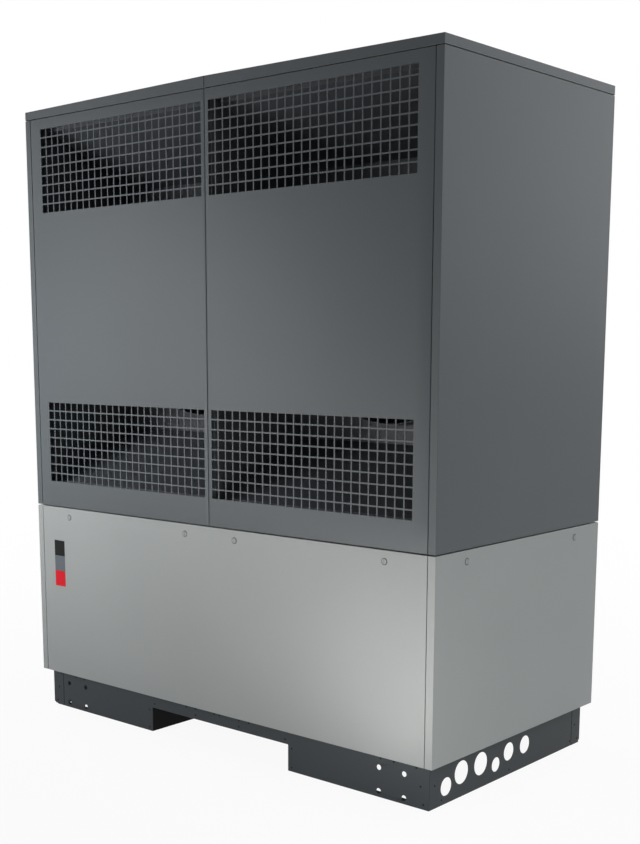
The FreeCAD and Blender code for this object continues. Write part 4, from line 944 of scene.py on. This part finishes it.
@dataclass
class Rotor:
    """An axial fan: forward-swept blades pressed from rolled sheet on a domed hub."""

    side: str
    hub: float = 100
    half: float = 50
    shaft: float = 10
    shaft_long: float = 30
    dish: float = 3
    bolts: int = 6
    bolt_ring: float = 0.48
    bolt_head: float = 6
    bolt_tall: float = 4
    reach: float = 397.5
    blades: int = 5
    thick: float = 5
    tip_round: float = 14
    root_share: float = 0.9
    bend_share: float = 0.66
    roll: float = 597.5
    roll_middle: float = 0.62
    lean: float = math.radians(24)
    tilt: float = math.radians(28)
    trailing: tuple[float, float, float] = (-30, -23, -17)
    leading: tuple[float, float, float] = (30, 18, 29)

    def __post_init__(self) -> None:
        """Find the radius where the blades start, inside the hub."""
        self.root = self.root_share * self.hub

    def build(self) -> None:
        """Build the fan in place of its CAD node."""
        node = f"fan_rotor_{self.side}"
        centre = Motors().centre(-1 if self.side == "left" else 1)
        centre.y = box(node)[1].y - self.shaft_long - self.half
        shape = Shape()
        shape.repeat(self.blade, self.blades)
        shape.turned(self.outline(), (0, 0, 0), Axis.Y, 64)
        shape.repeat(self.bolt, self.bolts)
        shape.turn(Matrix.Translation(centre))
        shape.piece(f"rotor_{self.side}", "fan_plastic", node, body=f"{self.side}_fan", sharp=40)

    def outline(self) -> Profile:
        """The hub with its dished face and its shaft.

        Returns:
            The outline, from the face's middle to the shaft's end.
        """
        half, hub, shaft = self.half, self.hub, self.shaft
        end = half + self.shaft_long
        return [(0.0, -half), (hub * 0.30, -half), (hub * 0.34, self.dish - half),
                (hub * 0.62, self.dish - half), (hub * 0.66, -half), (hub * 0.86, -half),
                (hub * 0.95, 3 - half), (hub * 0.99, 9 - half), (hub, 18 - half),
                (hub, half - 2), (hub - 2, half), (shaft, half), (shaft, end - 1),
                (shaft - 1, end), (0.0, end)]

    def bolt(self) -> Shape:
        """One bolt head in the hub's dish."""
        bolt = Shape()
        place = (0, self.dish - self.half, self.hub * self.bolt_ring)
        bolt.prism(place, Axis.Y, self.bolt_head, -self.bolt_tall, 6)
        return bolt

    def blade(self) -> Shape:
        """One blade that points up.

        Returns:
            The blade.
        """
        shape = Shape()
        bm = shape.bm
        bmesh.ops.create_grid(bm, x_segments=16, y_segments=18, size=1.0)
        for vert in bm.verts:
            across, along = vert.co.x, (vert.co.y + 1) / 2
            corner = max(0.0, abs(across) - 0.75) / 0.25
            radius = self.root + along * (self.reach - self.root)
            radius -= along ** 6 * corner ** 2 * self.tip_round
            low, high = self.bend(radius, self.trailing), self.bend(radius, self.leading)
            angle = math.radians((low + high) / 2 + across * (high - low) / 2)
            plan_x, plan_z = radius * math.sin(angle), radius * math.cos(angle)
            vert.co = Vector((plan_x, self.rolled(plan_x, plan_z), plan_z))
        bmesh.ops.solidify(bm, geom=bm.faces[:], thickness=self.thick)
        shape.clean()
        return shape

    def bend(self, radius: float, angles: tuple[float, float, float]) -> float:
        """The angle of a blade's edge.

        Args:
            radius: The radius that it is wanted for.
            angles: The angles at the root, near the middle and at the tip.

        Returns:
            The angle on the smooth line through all three, in degrees.
        """
        spots = (self.root, self.bend_share * self.reach, self.reach)
        total = 0.0
        for spot, angle in zip(spots, angles):
            shares = [(radius - other) / (spot - other) for other in spots if other != spot]
            total += angle * math.prod(shares)
        return total

    def rolled(self, plan_x: float, plan_z: float) -> float:
        """How far the rolled sheet stands along the axis.

        Args:
            plan_x: The place across in the fan's plan.
            plan_z: The place upwards in the fan's plan.

        Returns:
            The place along Y, found by steps because the sheet leans.
        """
        depth = 0.0
        lift = plan_z - self.roll_middle * self.reach
        for _ in range(8):
            chord = plan_x * math.cos(self.lean) + depth * math.sin(self.lean)
            aside = chord * math.cos(self.tilt) - lift * math.sin(self.tilt)
            bulge = math.sqrt(self.roll ** 2 - aside ** 2) - self.roll
            depth = (plan_x * math.sin(self.lean) + bulge) / math.cos(self.lean)
        return depth


@dataclass
class FanWall:
    """The plates that carry the fans, with a rolled inlet and a throat round each opening."""

    throat: float = 404
    inlet: float = 12
    thick: float = 2
    steps: int = 96
    inlet_steps: int = 4
    flange: float = 25
    inner: float = 1

    def build(self) -> None:
        """Build both plates in place of the CAD node."""
        low, high = box("fan_wall")
        face = high.y - self.flange
        shape = Shape()
        for sign in SIGNS:
            plate = self.plate((high.x - self.inner) / 2, (high.z - low.z) / 2, low.y - face)
            plate.turn(Matrix.Translation((sign * (self.inner + high.x) / 2, face, (low.z + high.z) / 2)))
            shape.take(plate)
        shape.piece("fan_plates", "dark_sheet", "fan_wall", sharp=30)

    def plate(self, half_x: float, half_z: float, end: float) -> Shape:
        """One plate about its opening's centre.

        Args:
            half_x: Half its width.
            half_z: Half its height.
            end: The Y of the throat's end.

        Returns:
            The plate.
        """
        shape = Shape()
        mouth = self.throat + self.inlet
        circles = [bmesh.ops.create_circle(shape.bm, segments=self.steps, radius=radius, matrix=UPRIGHT)
                   for radius in (mouth, 1.0)]
        ring, border = (circle["verts"] for circle in circles)
        for vert in border:
            share = max(abs(vert.co.x), abs(vert.co.z))
            vert.co = Vector((vert.co.x / share * half_x, 0, vert.co.z / share * half_z))
        edges, outer = around(ring, "link_edges"), around(border, "link_edges")
        bmesh.ops.bridge_loops(shape.bm, edges=edges + outer)
        shape.drawn(outer, self.flange)
        turns = [math.pi / 2 * step / self.inlet_steps for step in range(1, self.inlet_steps + 1)]
        path = [(mouth - self.inlet * math.sin(turn), self.inlet * (math.cos(turn) - 1)) for turn in turns]
        before, level = mouth, 0.0
        for radius, along in [*path, (self.throat, end)]:
            verts = shape.drawn(edges, along - level, radius / before)
            edges = [edge for edge in around(verts, "link_edges") if set(edge.verts) <= set(verts)]
            before, level = radius, along
        shape.wall(self.thick)
        return shape


# Coils


@dataclass
class Coil:
    """An evaporator: fins between two end plates, tube bends, a header and its feeders."""

    side: str
    header: float = 14
    header_gap: float = 0.3
    header_depth: float = 22
    header_short: float = 42
    end: float = 2
    foot: float = 20
    head: float = 6
    core_inset: float = 4
    fin_inset: float = 0.5
    fin_pitch: float = 5
    fin: float = 0.35
    rows: int = 22
    tube: float = 4.8
    bend: float = 8
    bend_out: float = 14
    feeder_free: float = 60

    def __post_init__(self) -> None:
        """Find the coil's box and the ends of its fins."""
        self.node = f"evaporator_{self.side}"
        self.low, self.high = box(self.node)
        self.sign = 1 if self.high.x > 0 else -1
        near, far = sorted((abs(self.low.x), abs(self.high.x)))
        self.header_x = near + self.header
        self.inner = self.header_x + self.header + self.header_gap + self.end
        self.outer = far - self.end
        self.bottom, self.top = self.low.z + self.foot, self.high.z - self.head

    def slab(self, shape: Shape, near: float, far: float, inset: float) -> None:
        """Add an upright slab between two distances from the middle of the unit."""
        shape.block((self.sign * near, self.low.y + inset, self.bottom),
                    (self.sign * far, self.high.y - inset, self.top))

    def build(self) -> None:
        """Build the coil in place of its CAD node."""
        core = Shape()
        self.slab(core, self.inner, self.outer, self.core_inset)
        core.piece(f"coil_core_{self.side}", "coil_aluminium", self.node, sharp=30)
        fins = Shape()
        count = round((self.outer - self.inner) / self.fin_pitch)
        for place in range(1, count):
            across = self.inner + place * (self.outer - self.inner) / count
            self.slab(fins, across - self.fin / 2, across + self.fin / 2, self.fin_inset)
        fins.piece(f"coil_fins_{self.side}", "coil_aluminium", sharp=30, finish="fin_edge")
        plates = Shape()
        for near in (self.inner - self.end, self.outer):
            plates.block((self.sign * near, self.low.y, self.low.z),
                         (self.sign * (near + self.end), self.high.y, self.high.z), 0.4, 1)
        plates.piece(f"coil_plates_{self.side}", "coil_aluminium", sharp=30, finish="galvanised_steel")
        self.copper()

    def copper(self) -> None:
        """The header, its feeders and the tube bends at the outer end."""
        header_y = self.high.y - self.header_depth
        header_x = self.sign * self.header_x
        near, far = self.sign * self.outer, self.sign * (self.outer + self.bend_out)
        header = [(header_x, header_y, self.bottom), (header_x, header_y, self.top - self.header_short)]
        runs = [(header, self.header, 0.0)]
        for row in range(self.rows):
            level = self.bottom + (row + 0.5) * (self.top - self.bottom) / self.rows
            low, high = level - self.bend, level + self.bend
            for column in (1, 2, 3):
                along = self.low.y + column * (self.high.y - self.low.y) / 4
                corners = [(near, along, low), (far, along, low), (far, along, high), (near, along, high)]
                runs.append((corners, self.tube, self.bend))
            if row % 2 and level < self.top - self.feeder_free:
                feeder = [(header_x, header_y, level), (self.sign * self.inner, header_y, level)]
                runs.append((feeder, self.tube, 0.0))
        tubes(f"coil_tubes_{self.side}", "copper", runs)


# Machine compartment


def dome(radius: float, rise: float, steps: int) -> Profile:
    """The outline of a pressed end with its rise, from its rim to its middle."""
    turns = [math.pi / 2 * step / steps for step in range(steps)]
    return [(radius * math.cos(turn), rise * math.sin(turn)) for turn in turns] + [(0.0, rise)]


@dataclass
class Compressor:
    """A scroll compressor: a welded shell with pressed ends, a terminal box and its foot plate."""

    side: str
    radius: float = 112
    rise: float = 38
    seam: float = 1.2
    seam_half: float = 3
    seam_levels: tuple[float, float] = (0.2, 0.72)
    foot: float = 120
    base: float = 6
    bolts: float = 95
    box_half: float = 45
    box_tall: float = 120
    box_top: float = 80
    lid: float = 7.4
    lid_screws: float = 34
    washer: float = 13
    washer_thick: float = 2
    nut: float = 8.5
    nut_tall: float = 8

    def build(self) -> None:
        """Build the compressor in place of its CAD node."""
        node = f"compressor_{self.side}"
        low, high = box(node)
        centre = Vector(((low.x + high.x) / 2, high.y - self.foot, low.z + self.base))
        tall = high.z - centre.z
        groove = self.radius - self.seam
        outline = [(0.0, 0.0), (self.radius * 0.9, 0.0), (self.radius, 8)]
        for level in (tall * share for share in self.seam_levels):
            lower, upper = level - self.seam_half, level + self.seam_half
            outline += [(self.radius, lower), (groove, lower + 1), (groove, upper - 1), (self.radius, upper)]
        outline += [(radius, tall - self.rise + up) for radius, up in dome(self.radius, self.rise, 7)]
        shape = Shape()
        shape.turned(outline, centre, Axis.Z, 64)
        shape.block((low.x, centre.y - self.foot, low.z), (high.x, high.y, centre.z), 2)
        left, right = centre.x - self.box_half, centre.x + self.box_half
        top = high.z - self.box_top
        bottom = top - self.box_tall
        shape.block((left, low.y + 8, bottom), (right, centre.y - self.foot / 2, top), 3)
        shape.block((left, low.y, bottom), (right, low.y + self.lid, top), 2.5)
        for step in SIGNS:
            screw = (centre.x + step * self.lid_screws, low.y, (bottom + top) / 2)
            shape.prism(screw, Axis.Y, 4, 3, 6)
            for other in SIGNS:
                spot = centre + Vector((step * self.bolts, other * self.bolts, 0))
                shape.prism(spot, Axis.Z, self.washer, self.washer_thick, 24, 0.4)
                shape.prism(spot, Axis.Z, self.nut, self.nut_tall, 6, 0.5)
        shape.piece(f"shell_{self.side}", "compressor_paint", node, sharp=32)


@dataclass
class Vessel:
    """An upright pressure vessel with pressed ends on a folded stand."""

    node: str
    stand: float = 40
    stand_share: float = 0.7
    rise_share: float = 0.35
    groove: float = 3

    def build(self) -> None:
        """Build the vessel in place of its CAD node."""
        low, high = box(self.node)
        radius = (high.x - low.x) / 2
        rise = radius * self.rise_share
        half = radius * self.stand_share
        centre = (low + high) / 2
        centre.z = low.z + self.stand
        tall = high.z - centre.z
        outline = [(across, rise - up) for across, up in reversed(dome(radius, rise, 5))]
        outline += [(radius, tall / 2 - self.groove), (radius - 1, tall / 2),
                    (radius, tall / 2 + self.groove)]
        outline += [(across, tall - rise + up) for across, up in dome(radius, rise, 6)]
        shape = Shape()
        shape.turned(outline, centre, Axis.Z, 56)
        shape.block((centre.x - half, centre.y - half, low.z),
                    (centre.x + half, centre.y + half, centre.z + rise * 0.6), 3)
        shape.piece(f"{self.node}_shell", "compressor_paint", self.node, sharp=32)


@dataclass
class Condenser:
    """A brazed stack of plates between two covers on feet."""

    plates: int = 26
    cover: float = 10
    foot: float = 43
    foot_inset: float = 20
    plate_inset: float = 4
    step: float = 1.6

    def build(self) -> None:
        """Build the condenser in place of its CAD node."""
        low, high = box("plate_condenser")
        base = low.z + self.foot
        shape = Shape()
        for near in (low.x, high.x - self.cover):
            far = near + self.cover
            shape.block((near, low.y, base), (far, high.y, high.z), 3)
            shape.block((near, low.y + self.foot_inset, low.z),
                        (far, high.y - self.foot_inset, base + self.foot_inset), 1, 1)
        pitch = (high.x - low.x - 2 * self.cover) / self.plates
        for place in range(self.plates):
            inset = self.plate_inset + place % 2 * self.step
            start = low.x + self.cover + place * pitch
            shape.block((start, low.y + inset, base + inset),
                        (start + pitch * 0.92, high.y - inset, high.z - inset), 0.6, 1)
        shape.piece("brazed_plates", "brazed_steel", "plate_condenser", sharp=32)


@dataclass
class Valve:
    """The four-way valve: a drawn barrel with end caps, on its block of ports."""

    radius: float = 28
    long: float = 190
    cap: float = 16
    edge: float = 6
    block: float = 36

    def build(self) -> None:
        """Build the valve in place of its CAD node."""
        low, high = box("four_way_valve")
        middle = (low + high) / 2
        waist = self.radius - 2
        end = [(0.0, 0.0), (self.radius - self.edge, 0.0), (self.radius, self.edge),
               (self.radius, self.cap), (waist, self.cap + 1)]
        outline = end + [(radius, self.long - along) for radius, along in reversed(end)]
        start = (middle.x - self.long / 2, middle.y, high.z - self.radius)
        shape = Shape()
        shape.turned(outline, start, Axis.X, 40)
        shape.block((low.x, middle.y - self.block / 2, low.z),
                    (high.x, middle.y + self.block / 2, low.z + self.block), 4)
        shape.piece("valve_body", "valve_brass", "four_way_valve", sharp=32)


@dataclass
class Plumbing:
    """The copper pipes between the pieces of the circuit and the two water connections."""

    bend: float = 26
    tight_bend: float = 20
    gas: float = 14
    liquid: float = 9
    discharge: float = 11
    water: float = 27
    water_bend: float = 60
    ports: tuple[tuple[float, float], ...] = ((-291.5, 686), (-180, 298))
    port_end: float = 141
    nut: float = 39
    nut_tall: float = 25
    nut_level: float = 40
    thread: float = 30.1
    thread_root: float = 28.8
    thread_pitch: float = 4
    thread_turns: int = 9

    def build(self) -> None:
        """Build the copper and the water pipes in place of their CAD nodes."""
        gas, liquid = (self.gas, self.bend), (self.liquid, self.tight_bend)
        routes = [
            ([(-300, -180, 558), (-300, -180, 622), (-35, -180, 622), (-35, -180, 702)], *gas),
            ([(105, -180, 702), (105, -180, 622), (540, -180, 622)], *gas),
            ([(35, -180, 702), (35, -180, 502), (45.7, 420, 502), (45.7, 420, 832)], *gas),
            ([(45.7, 420, 622), (-45.7, 420, 622), (-45.7, 420, 832)], *gas),
            ([(486, -180, 250), (541, -180, 250)], *liquid),
            ([(420, -180, 516), (420, -180, 570), (420, 385, 570), (82, 385, 570), (82, 385, 832)],
             *liquid),
            ([(82, 385, 570), (-82, 385, 570), (-82, 385, 832)], *liquid),
        ]
        for centre, port, start in ((-150, 0, -220), (200, 70, -136)):
            routes.append(([(centre, 150, 676), (centre, 150, 720), (port, 150, 720), (port, -162, 720)],
                           self.discharge, 22))
            routes.append(([(start, -180, 400), (centre, -180, 400), (centre, 42, 400)], *gas))
        tubes("copper_pipes", "copper", routes, "refrigerant_pipes")
        self.connections()

    def connections(self) -> None:
        """The two water connections with their nuts and threaded ends."""
        low, high = box("water_pipes")
        across = high.x - self.nut
        runs = []
        fittings = Shape()
        for along, level in self.ports:
            corners = [(low.x, along, level), (across, along, level), (across, along, self.port_end)]
            runs.append((corners, self.water, self.water_bend))
            nut = (across, along, low.z + self.nut_level)
            fittings.prism(nut, Axis.Z, self.nut, self.nut_tall, 6, 1.5)
            fittings.turned(self.threaded(), (across, along, low.z), Axis.Z, 48)
        tubes("water_tubes", "pipe_steel", runs, "water_pipes")
        fittings.piece("water_fittings", "pipe_steel", sharp=32)

    def threaded(self) -> Profile:
        """The outline of a threaded end."""
        outline = [(0.0, 0.0), (self.water, 0.0)]
        for turn in range(self.thread_turns):
            start = 1.5 + turn * self.thread_pitch
            outline += [(self.thread, start + 1), (self.thread, start + 2),
                        (self.thread_root, start + 3.4)]
        return outline + [(self.thread, 39), (0.0, 40)]


@dataclass
class Mounts:
    """Ribbed rubber mounts under the compressors."""

    radius: float = 18
    waist: float = 14.4
    spread: float = 95
    compressors: tuple[float, float] = (-150, 200)
    depth: float = 150

    def build(self) -> None:
        """Build the mounts in place of the CAD node."""
        low, high = box("compressor_mounts")
        tall = high.z - low.z
        outline = [(0.0, 0.0), (self.radius, 0.0)]
        for rib, groove in ((0.15, 0.25), (0.38, 0.5), (0.62, 0.75)):
            outline += [(self.radius, tall * rib), (self.waist, tall * groove)]
        outline += [(self.radius, tall * 0.86), (self.radius, tall), (0.0, tall)]
        shape = Shape()
        for centre in self.compressors:
            for step_x in SIGNS:
                for step_y in SIGNS:
                    spot = (centre + step_x * self.spread, self.depth + step_y * self.spread, low.z)
                    shape.turned(outline, spot, Axis.Z, 28)
        shape.piece("rubber_mounts", "mount_rubber", "compressor_mounts", sharp=50)


@dataclass
class ControlBox:
    """The screws and the cable glands of the control cabinet."""

    screw: float = 6
    screw_tall: float = 2.5
    screw_inset: float = 18
    screw_bottom: float = 75
    screw_middle: float = 26
    screw_top: float = 22
    glands: int = 6
    gland_first: tuple[float, float, float] = (60, 75, 53.5)
    gland_pitch: float = 50
    gland_nut: float = 10
    gland_wide: float = 14
    cap: float = 12
    cap_wide: float = 11

    def build(self) -> None:
        """Build the fittings on the cabinet."""
        low, high = box("electrical_box")
        shape = Shape()
        levels = (low.z + self.screw_bottom, (low.z + high.z) / 2 + self.screw_middle,
                  high.z - self.screw_top)
        for across in (low.x + self.screw_inset, high.x - self.screw_inset):
            for level in levels:
                shape.prism((across, low.y, level), Axis.Y, self.screw, -self.screw_tall, 24, 0.8)
        for count in range(self.glands):
            place = low + Vector(self.gland_first) + Vector((count * self.gland_pitch, 0, 0))
            shape.prism(place, Axis.Z, self.gland_wide, -self.gland_nut, 6, 0.8)
            below = place - Vector((0, 0, self.gland_nut))
            shape.prism(below, Axis.Z, self.cap_wide, -self.cap, 24, 1.2)
        shape.piece("control_fittings", "box_paint", finish="motor_paint")


# Studio


@dataclass(frozen=True)
class Lamp:
    """A soft light, square or long, for the matt or the glossy share of a surface or for both."""

    name: str
    place: tuple[float, float, float]
    aim: tuple[float, float, float]
    size: float
    power: float
    colour: tuple[float, float, float] = (1.0, 1.0, 1.0)
    spread: float = 180.0
    long: float = 0.0
    lean: float = 0.0
    matt: bool = True
    gloss: bool = True

    def hang(self) -> None:
        """Hang the lamp in the studio, out of the camera's sight."""
        data = bpy.data.lights.new(self.name, "AREA")
        tune(data, shape="RECTANGLE", size=self.size, size_y=self.long or self.size, energy=self.power,
             color=self.colour, spread=math.radians(self.spread))
        aimed = (Vector(self.aim) - Vector(self.place)).to_track_quat("-Z", "Y").to_matrix()
        turn = (aimed @ Matrix.Rotation(math.radians(self.lean), 3, "Z")).to_euler()
        tune(shown(self.name, data), location=self.place, rotation_euler=turn, visible_camera=False,
             visible_diffuse=self.matt, visible_glossy=self.gloss)


@dataclass
class Studio:
    """The floor, the lights and the camera."""

    eye: tuple[float, float, float] = (3.0938, -3.5609, 1.4279)
    yaw: float = math.radians(41.228)
    pitch: float = math.radians(-9.491)
    lens: float = 54.28
    shift: tuple[float, float] = (0.0257, 0.1598)
    floor_radius: float = 60.0
    fade: tuple[float, float] = (1.4, 6.0)
    fade_start: float = 0.93
    lamps: tuple[Lamp, ...] = (
        Lamp("key_light", (-1.45, -2.3, 1.35), (-0.95, -0.5, 1.3), 1.0, 12.5, (0.98, 0.99, 1.0), 95,
             gloss=False),
        Lamp("low_light", (1.3, -1.6, 0.3), (0.75, -0.5, 0.3), 0.5, 2.5, (1.0, 0.99, 0.96), 100,
             gloss=False),
        Lamp("strip_light", (-1.48, -2.2, 1.4), (0.0, -0.5, 1.4), 0.35, 15, long=1.8, lean=27, matt=False),
        Lamp("card_light", (-0.98, -3.2, 0.01), (-0.98, -3.2, 1.0), 1.6, 170, (1.0, 0.99, 0.97), long=5.5,
             lean=49.2, matt=False),
        Lamp("side_light", (4.0, -0.3, 3.0), (0.95, 0.0, 1.3), 2.4, 43, (0.94, 0.99, 1.0)),
        Lamp("back_light", (0.8, 5.4, 3.2), (0, 0.5, 1.2), 3.5, 150),
        Lamp("left_light", (-5.2, 1.2, 2.8), (-0.95, 0, 1.2), 3.0, 90),
        Lamp("top_light", (0.2, 0.4, 6.0), (0, 0, 2.2), 3.0, 70),
    )

    def build(self) -> None:
        """Build the studio round the unit."""
        self.camera()
        self.floor()
        self.world()
        for lamp in self.lamps:
            lamp.hang()
        bpy.context.scene.view_settings.view_transform = "Standard"

    def camera(self) -> None:
        """The photograph's camera."""
        data = bpy.data.cameras.new("camera")
        tune(data, lens=self.lens, sensor_width=36.0, sensor_fit="AUTO", shift_x=self.shift[0],
             shift_y=self.shift[1], clip_end=200.0)
        bpy.context.scene.camera = camera = shown("camera", data)
        tune(camera, location=self.eye, rotation_euler=(math.pi / 2 + self.pitch, 0.0, self.yaw))

    def floor(self) -> None:
        """A plain pale floor that keeps the unit's shadow and fades to the white background."""
        shape = Shape()
        bmesh.ops.create_circle(shape.bm, cap_ends=True, segments=64, radius=self.floor_radius)
        floor = shown("floor", shape.mesh("floor"))
        net = Network(bpy.data.materials.new("studio_floor"))
        length = net.add("VectorMath", net.add("TexCoord", out="Object"), out="Value", operation="LENGTH")
        near, far = self.fade
        fade = net.add("MapRange", length, From_Min=near, From_Max=far, To_Min=self.fade_start, To_Max=1.0)
        share = net.add("Math", fade, net.seen(), operation="MULTIPLY")
        matt = net.add("BsdfPrincipled", Base_Color=(0.82, 0.82, 0.82, 1), Roughness=0.9,
                       Specular_IOR_Level=0.1)
        net.add("OutputMaterial", net.add("MixShader", share, matt, net.add("Emission", Strength=1.0)))
        floor.data.materials.append(net.owner)

    @staticmethod
    def world() -> None:
        """A white background for the camera and gloss, and a soft grey light for the rest."""
        world = bpy.data.worlds.new("studio_world")
        bpy.context.scene.world = world
        net = Network(world)
        soft = net.add("Background", Color=(0.94, 0.97, 1.0, 1), Strength=0.17)
        white = net.add("Background", Color=(1, 1, 1, 1), Strength=1.0)
        net.add("OutputWorld", net.add("MixShader", net.seen(), soft, white))


def dress_nodes() -> None:
    """Give every CAD node the finish of its slot in the record, and soften those that stay in sight."""
    slots = {part["node"]: part["material_slot"] for part in frame["record"]["subparts"]}
    slots["top_frame"] = "dark_sheet"
    for node, thing in frame["nodes"].items():
        dress(thing, slots[node])
    soften(0.4, "drip_tray")
    soften(0.5, "fan_supports", "air_baffles", "centre_partition", "door_liners")
    soften(0.6, "machine_floor", "frame_uprights", "mid_frame", "top_frame", "roof_rafters",
           "centre_mullions", "base_bearers")


def main() -> None:
    """Build the whole unit and its studio."""
    logging.basicConfig(level=logging.INFO, format="%(name)s: %(message)s")
    dress_nodes()
    rotors, coils, compressors = ([kind("left"), kind("right")] for kind in (Rotor, Coil, Compressor))
    vessels = [Vessel(node) for node in ("liquid_receiver", "suction_accumulator")]
    for part in (UpperCasing(), LowerCasing(), Plinth(), *rotors, FanWall(), Motors(), *coils, *compressors,
                 *vessels, Condenser(), Valve(), Plumbing(), Mounts(), ControlBox(), Studio()):
        part.build()


if __name__ == "__main__":
    main()
